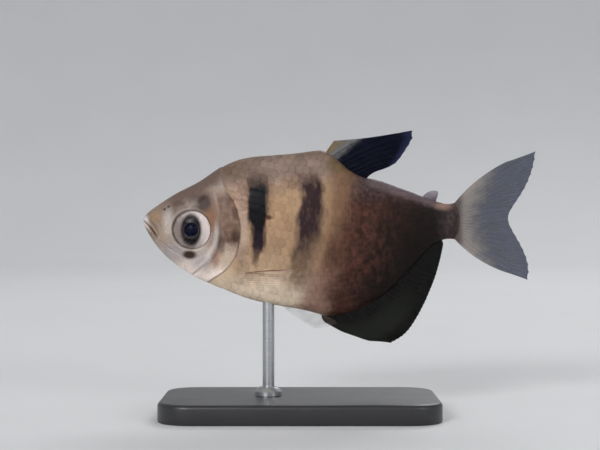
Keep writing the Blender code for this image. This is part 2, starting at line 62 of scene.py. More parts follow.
lens = bpy.data.cameras.new("side_camera")
lens.lens = LENS
lens.sensor_width = SENSOR
lens.clip_start = 0.01
camera = bpy.data.objects.new("side_camera", lens)
distance = MM_PER_PIXEL * PHOTO_WIDTH * LENS / SENSOR
camera.location = (0, -distance * MM, VIEW_HEIGHT * MM)
camera.rotation_euler = (math.radians(90), 0, 0)
bpy.context.scene.collection.objects.link(camera)
bpy.context.scene.camera = camera
print("camera distance in mm:", round(distance, 1))

# %% [markdown]
# Every piece below is worked out in millimetres as arrays of points and becomes a mesh
# through one helper. The helper scales the points to metres, turns all faces outwards and
# lets the piece ride on the only body of this still model.

# %% Helpers for meshes
CURVE_STEPS = 40


def add_mesh(name, points, faces, finish):
    """A smooth mesh object from points in millimetres."""
    mesh = bpy.data.meshes.new(name)
    mesh.from_pydata((np.asarray(points, float) * MM).tolist(), [], [list(face) for face in faces])
    mesh.materials.append(finish)
    mesh.shade_smooth()
    made = bpy.data.objects.new(name, mesh)
    bpy.context.scene.collection.objects.link(made)
    return made


def build(name, points, faces, finish, bend=True, crease=None, marks=None):
    """A piece of the model. Edges sharper than the crease, in degrees, stay crisp."""
    points = np.array(points, float)
    if bend:
        points[:, 1] += sweep(points[:, 0])
    piece = add_mesh(name, points, faces, finish)
    mesh = piece.data
    work = bmesh.new()
    work.from_mesh(mesh)
    bmesh.ops.recalc_face_normals(work, faces=work.faces)
    work.to_mesh(mesh)
    work.free()
    if crease:
        mesh.set_sharp_from_angle(angle=math.radians(crease))
    for mark, values in (marks or {}).items():
        layer = mesh.attributes.new(mark, "FLOAT", "POINT")
        layer.data.foreach_set("value", np.asarray(values, float).ravel())
    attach(piece, "root")
    return piece


def quads(rows, columns, ring=False, start=0):
    """The faces of a grid of points, row after row. A ring's last column meets its first."""
    r, c = np.meshgrid(np.arange(rows - 1), np.arange(columns if ring else columns - 1), indexing="ij")
    here = start + r * columns
    a, b = here + c, here + (c + 1) % columns
    return np.stack([a, b, b + columns, a + columns], axis=-1).reshape(-1, 4).tolist()


def sheet_faces(rows, columns):
    """The faces of a closed sheet: two grids of points, one after the other, joined at their rims."""
    size = rows * columns
    index = np.arange(size).reshape(rows, columns)
    rim = np.concatenate([index[:, 0], index[-1, 1:], index[-2::-1, -1], index[0, -2:0:-1]])
    after = np.roll(rim, -1)
    edge = np.stack([rim, after, after + size, rim + size], axis=-1).tolist()
    return quads(rows, columns) + quads(rows, columns, start=size) + edge


def ramp(value, low, high):
    """0 below low, 1 above high and a smooth step between them. Low may be above high."""
    t = np.clip((value - low) / (high - low), 0, 1)
    return t * t * (3 - 2 * t)


def bump(value, width):
    """A soft ridge, 1 where the value is 0."""
    return np.exp(-((value / width) ** 2))


def spline(values):
    """A natural cubic spline through the rows of values, as a function of the row number."""
    values = np.asarray(values, float)
    count = len(values)
    system = np.eye(count)
    pull = np.zeros_like(values)
    for i in range(1, count - 1):
        system[i, i - 1 : i + 2] = (1, 4, 1)
        pull[i] = 6 * (values[i - 1] - 2 * values[i] + values[i + 1])
    bend = np.linalg.solve(system, pull)

    def at(t):
        t = np.asarray(t, float)
        i = np.clip(t.astype(int), 0, count - 2)
        f = (t - i)[..., None]
        g = 1 - f
        return g * values[i] + f * values[i + 1] + ((g**3 - g) * bend[i] + (f**3 - f) * bend[i + 1]) / 6

    return at


def spread(values, count):
    """Points at even distances along the smooth curve through values."""
    fine = spline(values)(np.linspace(0, len(values) - 1, CURVE_STEPS * len(values)))
    run = np.concatenate([[0], np.cumsum(np.linalg.norm(np.diff(fine, axis=0), axis=1))])
    places = np.linspace(0, run[-1], count)
    return np.stack([np.interp(places, run, fine[:, k]) for k in range(fine.shape[1])], axis=1)


# %% [markdown]
# A shader is a sum of many small sums, so it reads best as sums. The class below wraps one
# socket and lets Python's + - * / add the Math nodes. A Finish holds one material with its
# Principled shader, and its node method adds any other node: the kind, the settings that
# must be set first, and the values or links of its sockets. A Wash is what a painter would
# call it: colours laid thinly over one another.


# %% Shader sums
class Socket:
    """A number that varies over a surface. A sum with it adds a Math node."""

    def __init__(self, finish, link):
        self.finish = finish
        self.link = link

    def math(self, operation, first, second=0.0):
        return self.finish.node("ShaderNodeMath", {"operation": operation}, {0: first, 1: second})

    def __add__(self, other):
        return self.math("ADD", self, other)

    def __sub__(self, other):
        return self.math("SUBTRACT", self, other)

    def __rsub__(self, other):
        return self.math("SUBTRACT", other, self)

    def __mul__(self, other):
        return self.math("MULTIPLY", self, other)

    def __truediv__(self, other):
        return self.math("DIVIDE", self, other)

    def size(self):
        return self.math("ABSOLUTE", self)

    def power(self, other):
        return self.math("POWER", self, other)

    def below(self, limit):
        """How far the number lies under a limit, or 0."""
        return self.math("MAXIMUM", limit - self, 0.0)

    def above(self, limit):
        """How far the number lies over a limit, or 0."""
        return self.math("MAXIMUM", self - limit, 0.0)

    def step(self, low, high):
        """0 below low, 1 above high, smooth between. Low may be above high."""
        settings = {"interpolation_type": "SMOOTHSTEP"}
        ends = {1: low, 2: high, 3: 0.0, 4: 1.0} if low < high else {1: high, 2: low, 3: 1.0, 4: 0.0}
        return self.finish.node("ShaderNodeMapRange", settings, {0: self, **ends})

    __radd__ = __add__
    __rmul__ = __mul__


def srgb(red, green, blue):
    """A colour as a paint program gives it, turned into Blender's linear light."""
    shares = [c / 255 for c in (red, green, blue)]
    return tuple(c / 12.92 if c <= 0.04045 else ((c + 0.055) / 1.055) ** 2.4 for c in shares) + (1.0,)


class Finish:
    """One material: its tree, its Principled shader and the helpers that paint it."""

    def __init__(self, name, **constants):
        self.material = bpy.data.materials.new(name)
        self.material.use_nodes = True
        self.tree = self.material.node_tree
        self.shader = self.tree.nodes["Principled BSDF"]
        for socket, value in constants.items():
            self.shader.inputs[socket.replace("_", " ")].default_value = value
        place = self.node("ShaderNodeTexCoord", {}, {}, "Object")
        self.place = self.node("ShaderNodeVectorMath", {"operation": "SCALE"}, {0: place, "Scale": 1 / MM})
        self.x, self.y, self.z = self.parts(self.place)

    def plug(self, target, value):
        if isinstance(value, Socket):
            self.tree.links.new(value.link, target)
        else:
            target.default_value = value

    def node(self, kind, settings, inputs, out=0):
        made = self.tree.nodes.new(kind)
        for key, value in settings.items():
            setattr(made, key, value)
        for key, value in inputs.items():
            self.plug(made.inputs[key], value)
        return Socket(self, made.outputs[out])

    def parts(self, vector):
        return [self.node("ShaderNodeSeparateXYZ", {}, {0: vector}, axis) for axis in "XYZ"]

    def noise(self, per_mm, detail=2.0, stretch=(1, 1, 1), shift=0.0):
        """Soft noise from about 0.3 to 0.7, with so many blotches per millimetre."""
        settings = {"operation": "MULTIPLY_ADD"}
        sums = {0: self.place, 1: stretch, 2: (shift, shift, shift)}
        place = self.node("ShaderNodeVectorMath", settings, sums)
        return self.node("ShaderNodeTexNoise", {}, {"Vector": place, "Scale": per_mm, "Detail": detail})

    def mark(self, name):
        """A value that the mesh carries at its points."""
        return self.node("ShaderNodeAttribute", {"attribute_name": name}, {}, "Fac")

    def mix(self, first, second, share):
        """One colour turning into another. Colours are tuples or sockets."""
        settings = {"data_type": "RGBA", "clamp_factor": True}
        return self.node("ShaderNodeMix", settings, {0: share, 6: first, 7: second}, 2)

    def shade(self, colour, share):
        """A colour times a grey share."""
        grey = self.node("ShaderNodeCombineColor", {}, {0: share, 1: share, 2: share})
        settings = {"data_type": "RGBA", "blend_type": "MULTIPLY"}
        return self.node("ShaderNodeMix", settings, {0: 1.0, 6: colour, 7: grey}, 2)

    def away_from(self, at):
        """How far a place lies behind, above and in all from a point of the side view."""
        behind, above = self.x - at[0], self.z - at[1]
        return behind, above, (behind * behind + above * above).power(0.5)

    def spot(self, at, reach, soft):
        """1 inside an ellipse of the side view, fading over its edge."""
        across = (self.x - at[0]) / reach[0]
        up = (self.z - at[1]) / reach[1]
        return (across * across + up * up).power(0.5).step(1 + soft, 1 - soft)

    def paint(self, **sockets):
        for socket, value in sockets.items():
            self.plug(self.shader.inputs[socket.replace("_", " ")], value)

    def relief(self, height, depth_mm):
        """Bump from a height of 0 to 1, so many millimetres deep."""
        sockets = {"Strength": 1.0, "Distance": depth_mm * MM, "Height": height}
        self.paint(Normal=self.node("ShaderNodeBump", {}, sockets))


class Wash:
    """Colours laid over one another, each as strong as its mask says."""

    def __init__(self, paint, colour):
        self.paint = paint
        self.colour = colour

    def lay(self, tint, share):
        self.colour = self.paint.mix(self.colour, tint, share)

    def lay_spots(self, tint, soft, spots, uneven=0.0):
        """One tint in soft ellipses of the side view: each has a place, a reach and a strength."""
        for at, reach, strength in spots:
            self.lay(tint, self.paint.spot(at, reach, soft) * (uneven + strength))


# %% [markdown]
# ## The body's form
# A fish's body is a loft: oval sections threaded on a line from snout to tail. The table has
# the same sections as the CAD solids, so the skin fills exactly their room. The last two
# columns say how sharply each section is drawn in at the back and at the belly. The tail
# is swept a little to one side, as a swimming fish holds it.

# %% Sections and the swimming bend
SPINE = 29.5
SECTIONS = np.array(
    [
        (-23.70, 30.15, 29.05, 0.60, 0.90, 0.90),
        (-23.35, 30.62, 28.20, 1.05, 0.90, 0.90),
        (-22.60, 31.28, 26.95, 1.50, 0.88, 0.92),
        (-21.00, 32.40, 24.85, 2.15, 0.85, 0.95),
        (-18.40, 34.00, 22.60, 2.80, 0.85, 0.98),
        (-15.30, 35.60, 20.80, 3.35, 0.90, 1.00),
        (-12.00, 37.82, 19.30, 3.80, 0.98, 1.00),
        (-8.40, 39.25, 17.80, 4.10, 1.08, 1.00),
        (-4.00, 39.72, 16.72, 4.25, 1.15, 1.00),
        (0.30, 40.12, 16.00, 4.15, 1.18, 1.08),
        (3.20, 40.42, 15.20, 3.98, 1.18, 1.20),
        (4.90, 39.70, 15.10, 3.80, 1.15, 1.28),
        (7.00, 37.85, 15.42, 3.55, 1.05, 1.33),
        (9.20, 36.50, 16.25, 3.20, 1.00, 1.35),
        (11.40, 36.05, 17.30, 2.85, 1.00, 1.35),
        (14.00, 35.20, 19.15, 2.40, 1.00, 1.30),
        (17.30, 34.00, 22.60, 1.85, 0.98, 1.20),
        (20.30, 32.85, 25.75, 1.45, 0.95, 1.05),
        (22.60, 32.33, 26.72, 1.10, 0.95, 0.95),
        (24.40, 32.45, 26.70, 0.70, 0.95, 0.95),
    ]
)
SNOUT_X, TAIL_X = SECTIONS[0, 0], SECTIONS[-1, 0]
TAIL_ROUND = 22.8
SWEEP, SWEEP_LENGTH = 2.4, 36.3
TAIL_MIDDLE, TAIL_HALF_HEIGHT = 29.6, 2.9
TAIL_DRAWN, TAIL_CURVE_START = 0.75, 21.6
BODY_STEPS = 3000
BODY_ROWS = spline(SECTIONS)(np.linspace(0, len(SECTIONS) - 1, BODY_STEPS))


def sweep(x):
    """How far the swimming bend carries a place sideways."""
    share = np.maximum(0.0, x) / SWEEP_LENGTH
    return SWEEP * share * share


def tail_curve(points):
    """Draws the corners of the tail stalk's end forward, so that it ends in an arc."""
    up = (points[..., 2] - TAIL_MIDDLE) / TAIL_HALF_HEIGHT
    points[..., 0] -= TAIL_DRAWN * up * up * ramp(points[..., 0], TAIL_CURVE_START, TAIL_X)
    return points


def section(x):
    """Top, bottom, half width, crown and keel of the body at x."""
    return [np.interp(x, BODY_ROWS[:, 0], BODY_ROWS[:, k]) for k in range(1, 6)]


def body_point(x, turn):
    """A place on the body: turn is 0 on the fish's right, 90 degrees on its back and 180 on its left."""
    top, bottom, half, crown, keel = section(x)
    across, up = np.cos(turn), np.sin(turn)
    half = half * np.sqrt(1 - 0.85 * np.clip((x - TAIL_ROUND) / (TAIL_X - TAIL_ROUND), 0, 1) ** 2)
    y = np.sign(across) * np.abs(across) ** np.where(up > 0, crown, keel) * half
    z = SPINE + up * np.where(up > 0, top - SPINE, SPINE - bottom)
    return np.stack([x + 0 * y, y, z], axis=-1)


def side_y(x, z):
    """The body's half width at a place on its side."""
    top, bottom, half, crown, keel = section(x)
    above = z > SPINE
    share = (z - SPINE) / np.where(above, top - SPINE, SPINE - bottom)
    return half * np.maximum(0.0, 1 - share * share) ** (np.where(above, crown, keel) / 2)


print("body from", SNOUT_X, "to", TAIL_X, "mm, widest", round(2 * BODY_ROWS[:, 3].max(), 2), "mm")

# %% [markdown]
# ## Lines on the head
# A tetra's head is bare of scales. What gives it its look is bone close under thin skin: the
# steep little mouth with its lips, the jaw bone behind it, the ring round the eye, the cheek's edge
# and the gill cover with a dark slot behind. Each is a line in the side view, and the skin is raised
# or sunk by its distance from that line.

# %% Lines in the side view
EYE = (-16.35, 28.25)
EYE_RADIUS = 2.88
MOUTH = [(-23.95, 29.7), (-23.4, 29.35), (-22.75, 28.7), (-22.15, 27.95), (-21.65, 27.15)]
JAW = [(-21.5, 26.9), (-19.6, 25.3), (-18.0, 24.2), (-17.3, 22.6), (-17.0, 21.3)]
MAXILLA = [(-22.35, 29.75), (-21.6, 28.75), (-20.9, 27.6), (-20.55, 26.8)]
NOSTRILS = [(-20.45, 31.35), (-19.85, 31.75)]
GILL_EDGE = [(-13.0, 43.0), (-12.4, 38.9), (-12.0, 36.1), (-11.2, 34.0), (-10.0, 32.5), (-9.25, 30.6)]
GILL_EDGE += [(-8.95, 28.5), (-9.1, 26.3), (-9.7, 24.2), (-11.1, 22.3), (-13.1, 20.9), (-15.3, 19.4)]
GILL_EDGE += [(-17.5, 17.0)]
CHEEK_EDGE = [(-13.1, 34.2), (-12.9, 32.9), (-12.3, 30.5), (-12.1, 28.2), (-12.4, 25.9), (-13.5, 23.8)]
CHEEK_EDGE += [(-15.1, 22.2), (-17.4, 20.6)]
OPERCLE_SEAM = [(-12.3, 24.6), (-11.2, 25.0), (-10.1, 25.7), (-9.2, 26.8)]
CHEEK_SEAM = [(-19.6, 26.2), (-18.3, 24.7), (-16.4, 23.9), (-14.5, 24.5), (-13.2, 26.0)]
CHEEK_SEAM += [(-12.9, 28.2), (-13.2, 30.4)]
GILL_TOP = 34.2


def past(x, z, line):
    """How far a place lies behind a line that runs down the head. It is negative in front of the line."""
    line = spread(line, 60)[::-1]
    slope = np.interp(z, line[:, 1], np.gradient(line[:, 0], line[:, 1]))
    return (x - np.interp(z, line[:, 1], line[:, 0])) / np.sqrt(1 + slope * slope)


def off(x, z, line, count=24):
    """The distance from a line, and how far along it the nearest place is, from 0 to 1."""
    line = spread(line, count)
    nearest, along = np.full(np.shape(x), 1e9), np.zeros(np.shape(x))
    for i in range(count - 1):
        run = line[i + 1] - line[i]
        share = np.clip(((x - line[i, 0]) * run[0] + (z - line[i, 1]) * run[1]) / (run @ run), 0, 1)
        apart = np.hypot(x - line[i, 0] - share * run[0], z - line[i, 1] - share * run[1])
        closer = apart < nearest
        nearest = np.where(closer, apart, nearest)
        along = np.where(closer, (i + share) / (count - 1), along)
    return nearest, along


# %% [markdown]
# ## Skin
# One skin covers head, body and tail stalk with no seam, so that it stands for six CAD nodes at
# once. It is a grid of rings, closer together on the head, where each ridge and slit is only a
# few tenths of a millimetre. Behind the head it lies deeper by the depth of the scale coat.
# The fold lines are a table: a line, its ridges and grooves as (height, distance from the line,
# width), and the shares of the line's length between which they grow to their full height. On
# the face the relief is weak near the middle plane, where the two sides meet.

# %% Head relief and the skin
COAT_DEPTH = 0.13
NOSE_ROUND = 0.14
NOSE_TURNS = (88, 75, 60, 45, 30, 15)
HEAD_END, FACE_END = -9.0, -12.0
MIDDLE_FADE = (0.15, 1.3)
SOCKET_DEPTH = 1.3
HEAD_RINGS, BODY_RINGS, RING_POINTS = ((230, 150, 300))
FOLD_LINES = [
    (MOUTH, [(0.13, 0.34, 0.2), (-0.32, 0.0, 0.1)], (1.0, 0.85)),
    (JAW, [(-0.1, 0.0, 0.14)], (0.0, 0.1)),
    (MAXILLA, [(0.11, 0.0, 0.26), (-0.05, 0.42, 0.1)], (1.0, 0.8)),
    (OPERCLE_SEAM, [(-0.07, 0.0, 0.11)], (-0.1, 0.0)),
    (CHEEK_SEAM, [(-0.06, 0.0, 0.14)], (1.0, 0.85)),
]


def head_relief(x, z):
    """How far the skin stands out from the plain body, in millimetres."""
    gill, cheek = past(x, z, GILL_EDGE), past(x, z, CHEEK_EDGE)
    low = ramp(z, GILL_TOP + 0.4, GILL_TOP - 0.8)
    front = ramp(cheek, -0.05, 0.35 + 1.3 * ramp(z, 29.0, 32.5))
    throat = ramp(z, 20.2, 21.2)
    rise = 0.16 * front * ramp(gill, 0.05, -0.12) * low - COAT_DEPTH * ramp(gill, 0.1, 0.5)
    rise = rise - 0.2 * bump(gill - 0.14, 0.15) * low
    rise = rise + 0.1 * bump(cheek + 0.4, 0.3) * ramp(z, 31.0, 28.0) * throat
    rise = rise - 0.1 * bump(cheek - 0.04, 0.15) * ramp(z, 33.0, 29.5) * throat
    for line, folds, (start, end) in FOLD_LINES:
        away, along = off(x, z, line)
        for height, at, width in folds:
            rise = rise + height * bump(away - at, width) * ramp(along, start, end)
    for nostril in NOSTRILS:
        away = np.hypot(x - nostril[0], z - nostril[1])
        rise = rise + 0.06 * bump(away - 0.3, 0.12) - 0.3 * bump(away, 0.18)
    away = np.hypot(x - EYE[0], z - EYE[1])
    rise = rise + 0.1 * bump(away - EYE_RADIUS - 0.36, 0.28)
    return rise - SOCKET_DEPTH * ramp(away, EYE_RADIUS + 0.15, EYE_RADIUS - 0.12)


def skin_grid():
    """The skin's rings of points, from the round nose to the flat tail root."""
    head = np.linspace(SNOUT_X, HEAD_END, HEAD_RINGS)
    stations = np.concatenate([head, np.linspace(HEAD_END, TAIL_X, BODY_RINGS)[1:]])
    turns = 2 * np.pi * (np.arange(RING_POINTS) + 0.5) / RING_POINTS
    rings = body_point(stations[:, None], turns[None, :])
    first, middle = rings[0], rings[0].mean(axis=0)
    caps = []
    for angle in np.radians(NOSE_TURNS):
        cap = middle + (first - middle) * math.cos(angle)
        cap[:, 0] = SNOUT_X - NOSE_ROUND * math.sin(angle)
        caps.append(cap)
    return np.concatenate([np.array(caps), rings])


def outward(grid):
    """The outward direction at each point of a grid of rings."""
    along = np.gradient(grid, axis=0)
    around = np.roll(grid, -1, axis=1) - np.roll(grid, 1, axis=1)
    out = np.cross(around, along)
    return out / np.maximum(np.linalg.norm(out, axis=-1, keepdims=True), 1e-9)


grid = skin_grid()
rise = head_relief(grid[..., 0], grid[..., 2])
side = ramp(np.abs(grid[..., 1]), *MIDDLE_FADE)
rise = np.where(grid[..., 0] < FACE_END, rise * (0.1 + 0.9 * side), rise)
grid = grid + rise[..., None] * outward(grid)
SKIN_ROWS = len(grid)
skin_points = tail_curve(grid.reshape(-1, 3))
skin_faces = quads(SKIN_ROWS, RING_POINTS, ring=True)
skin_faces += [list(range(RING_POINTS)), list(range(len(skin_points) - RING_POINTS, len(skin_points)))]
skin_marks = {
    "gill": past(skin_points[:, 0], skin_points[:, 2], GILL_EDGE),
    "cheek": past(skin_points[:, 0], skin_points[:, 2], CHEEK_EDGE),
    "mouth": off(skin_points[:, 0], skin_points[:, 2], MOUTH)[0],
}
print("skin points:", len(skin_points), "rings:", SKIN_ROWS)

# %% [markdown]
# ## Colour of the flank
# The body is cream below, warm silver-beige on the flank and brown-grey on the back. Two dark bars
# cross it: the first is black and narrower below, the second is mottled. The hind third is red-brown
# with smoky places before it, and it darkens to almost black along the anal fin. Towards the tail it is
# also painted darker as shade, where the light falls off. A pale line along the back's ridge behind
# the dorsal fin is a painted highlight, and one dark place behind the pectoral fin's root is a painted
# shadow. Each of these is a mask in the side view, in millimetres, with its edge roughened by noise.
# Skin and scales share them.

# %% Flank markings
BELLY = srgb(224, 205, 182)
LOWER_FLANK = srgb(194, 167, 137)
BAND = srgb(178, 156, 142)
FLANK = srgb(160, 131, 103)
BACK = srgb(136, 117, 107)
RIDGE = srgb(98, 80, 66)
BAR = srgb(6, 6, 12)
BAR_FOOT = srgb(36, 26, 33)
SECOND_BAR = srgb(50, 35, 38)
AMBER = srgb(114, 85, 66)
REAR = srgb(66, 41, 34)
MAUVE = srgb(132, 98, 87)
REAR_PALE = srgb(82, 71, 74)
# Painted highlight: pale along the back's ridge behind the dorsal fin.
PAINTED_RIDGE_HIGHLIGHT = srgb(111, 96, 100)
REAR_DARK = srgb(17, 13, 11)
MAROON = srgb(92, 54, 46)
EMBER = srgb(106, 67, 56)
SADDLE = srgb(100, 83, 56)
STALK = srgb(72, 61, 61)
STALK_SPOT = srgb(150, 122, 112)
FLECK = srgb(66, 26, 24)
SMOKE_AND_SHADOW = srgb(96, 62, 42)
SMOKE_AND_SHADOW_PLACES = [
    ((-0.5, 21.5), (1.9, 2.4), 0.55),
    # Painted shadow behind the pectoral fin's root.
    ((-8.6, 23.3), (1.3, 2.3), 0.36),
    ((-8.3, 33.2), (1.5, 2.6), 0.55),
    ((-4.9, 33.4), (0.9, 2.4), 0.4),
    ((-0.9, 35.6), (1.3, 1.3), 0.3),
]
REAR_PLACES = [
    ((5.5, 18.3), (1.7, 2.0), 0.8),
    ((4.0, 20.0), (1.3, 1.8), 0.35),
    ((6.4, 26.6), (1.2, 2.8), 0.4),
    ((4.9, 24.2), (1.2, 2.6), 0.68),
]


def lay_rear(wash, x, z, blotch, streak, grain):
    """The dark hind third, partly painted shade, its smoky places and one painted shadow, its red glow, and a
    painted highlight along the back.
    """
    paint = wash.paint
    edge = x - z * 0.165 - 1.75
    warm = paint.mix(AMBER, MAUVE, z.step(25.0, 19.0))
    wash.lay(warm, (edge + z.below(26.0) * 0.22 + 4.0).step(-0.6, 3.0) * 0.9)
    upper = z.step(31.0, 36.0)
    rear = (edge - upper * 0.5).step(-1.4, 2.2)
    # Painted shade in part: the hind third is dark red-brown of its own, painted darker where the light falls
    # off towards the tail.
    wash.lay(REAR, rear * 0.93)
    wash.lay(REAR_PALE, rear * upper * 0.75)
    red = paint.noise(0.5, 3.0, stretch=(1.2, 1.0, 0.8), shift=15.0).step(0.46, 0.6)
    wash.lay(MAROON, rear * red * z.step(34.0, 30.0) * x.step(15.0, 9.0) * 0.6)
    # Darker towards the tail: its own dark colour, deepened as painted shade where the light falls off.
    wash.lay(REAR_DARK, x.step(7.0, 15.0) * z.step(34.5, 31.5) * 0.55)
    wash.lay(STALK, x.step(17.0, 22.0) * 0.85)
    wash.lay_spots(SADDLE, 0.7, [((5.9, 38.3), (2.0, 1.5), 0.7)])
    above_keel = paint.z - ((paint.x - 3.0) * (paint.x - 3.0) * 0.0363 + 15.0)
    deep = (above_keel + blotch * 3.0).step(16.5, 2.5) * x.step(4.5, 13.0) * x.step(23.4, 20.0)
    wash.lay(REAR_DARK, deep * 0.92)
    wash.lay(REAR_DARK, rear * (streak * 1.6 + grain * 4.0 + 0.6).step(0.2, 1.1) * 0.5)
    # Smoky places, and one painted shadow behind the pectoral fin's root.
    wash.lay_spots(SMOKE_AND_SHADOW, 0.8, SMOKE_AND_SHADOW_PLACES, grain * 0.8)
    wash.lay_spots(REAR, 0.8, REAR_PLACES, grain * 0.8)
    # Painted highlight along the back's ridge, behind the dorsal fin.
    near_back = paint.z + paint.x * 0.33 - 39.5 + grain * 1.2
    ridge_highlight = near_back.step(-1.7, -0.6) * x.step(8.5, 12.0) * x.step(21.8, 20.0)
    wash.lay(PAINTED_RIDGE_HIGHLIGHT, ridge_highlight * 0.62)
    wash.lay_spots(STALK_SPOT, 0.8, [((21.9, 31.9), (1.15, 0.55), 0.8)])
    glow = paint.noise(1.0, 4.0, stretch=(1.0, 1.0, 0.7), shift=21.0).step(0.4, 0.68)
    glow = glow * x.step(16.5, 9.5) * z.step(34.0, 30.5) * z.step(18.0, 23.0)
    wash.lay(EMBER, rear * glow * 0.36)


def lay_bars(wash, x, z, streak):
    """The mottled second bar, the black first bar with its violet foot, and the fleck beside it."""
    paint = wash.paint
    mottle = paint.noise(1.1, 3.0, stretch=(1.6, 1.0, 0.8), shift=27.0) - 0.5
    middle = 1.9 - z.step(32.5, 29.5) * 0.6 - z.step(27.0, 23.5) * 0.7 - z.above(34.2) * 0.3
    wide = z.step(32.6, 30.8) * 0.32 + z.step(33.2, 34.2) * 0.15
    second = ((x - middle).size() - wide).step(2.2, 0.85) * z.step(17.0, 29.5) * z.step(38.4, 34.4)
    second = second * (1 - z.step(28.0, 26.2) * x.step(0.8, 2.2) * 0.4)
    wash.lay(SECOND_BAR, second * (streak * 0.7 + mottle * 0.7 + 1.02))
    middle = z.step(30.0, 28.0) * 0.12 - z.step(26.5, 23.8) * 0.6 - 6.33
    wide = z.step(28.4, 30.4) * 0.48 + z.step(23.4, 26.0) * 0.6 + 0.47
    first = (wide - (x - middle).size()).step(-0.35, 0.45) * z.step(21.5, 26.0) * z.step(37.7, 34.1)
    wash.lay(paint.mix(BAR_FOOT, BAR, z.step(26.0, 30.0)), first)
    wash.lay_spots(FLECK, 0.8, [((-6.75, 24.0), (0.45, 1.0), 0.35)])
    wash.lay_spots(FLECK, 0.5, [((-4.75, 30.1), (0.5, 0.36), 0.85)])


def flank_colour(paint):
    """The markings behind the head, with some painted light and shade among them, as a colour."""
    blotch = paint.noise(0.55, 3.0) - 0.5
    streak = paint.noise(1.0, 3.0, stretch=(1.5, 1.0, 0.3), shift=7.0) - 0.5
    grain = paint.noise(1.5, 3.0, shift=4.0) - 0.5
    x, z = paint.x + streak * 1.2, paint.z + blotch * 2.0
    wash = Wash(paint, BELLY)
    wash.lay(LOWER_FLANK, z.step(18.5, 23.0))
    wash.lay(FLANK, (z + x * 0.12).step(20.8, 25.6))
    wash.lay(BACK, (z - x * 0.13).step(33.0, 37.6))
    wash.lay(RIDGE, z.step(38.4, 40.2) * 0.6)
    wash.lay_spots(BAND, 0.6, [((-8.7, 29.0), (0.85, 6.5), 0.75)])
    wash.lay_spots(RIDGE, 0.8, [((-11.0, 37.6), (4.2, 2.0), 0.7)])
    lay_rear(wash, x, z, blotch, streak, grain)
    lay_bars(wash, x, z, streak)
    return wash.colour


# %% [markdown]
# The head is paler and more silvery than the flank, with a brown crown and a few dark spots above and
# below the eye. The cheek's edge is a bright ridge with a line of painted shade in the groove behind it,
# and the gill cover has a brown, mother-of-pearl patch. The mouth's slit, the gill slot and the nostrils
# are painted dark as shade. The distances from the gill and cheek lines come with the mesh.

# %% The skin's finish
CROWN = srgb(98, 80, 72)
CHEEK = srgb(156, 143, 134)
SNOUT = srgb(162, 143, 127)
THROAT = srgb(248, 230, 218)
SPOT = srgb(52, 31, 21)
RUST = srgb(128, 84, 68)
COVER_PATCH = srgb(112, 86, 74)
COVER_LOW = srgb(186, 166, 148)
LILAC = srgb(146, 138, 141)
LIP = srgb(204, 200, 206)
ORANGE = srgb(124, 86, 63)
OCHRE = srgb(160, 132, 92)
# Painted shade in the mouth's slit, the gill slot and the nostrils.
RECESS_SHADE = srgb(46, 34, 30)
PEARL = srgb(214, 208, 204)
COVER_SPOTS = [
    ((-9.75, 30.7), (0.45, 1.0), 0.45),
    ((-9.6, 27.2), (0.6, 1.1), 0.75),
    ((-10.9, 32.8), (1.1, 0.8), 0.3),
    ((-10.7, 27.0), (1.2, 0.8), 0.4),
    ((-11.8, 25.9), (0.6, 1.3), 0.65),
]
FACE_SPOTS = [
    ((-14.5, 32.5), (1.7, 1.5), 0.5),
    ((-14.4, 32.4), (1.0, 1.05), 1.0),
    ((-16.65, 24.5), (1.05, 0.65), 0.97),
    ((-18.3, 32.2), (0.9, 0.4), 0.3),
    ((-15.0, 31.3), (1.3, 0.7), 0.3),
]


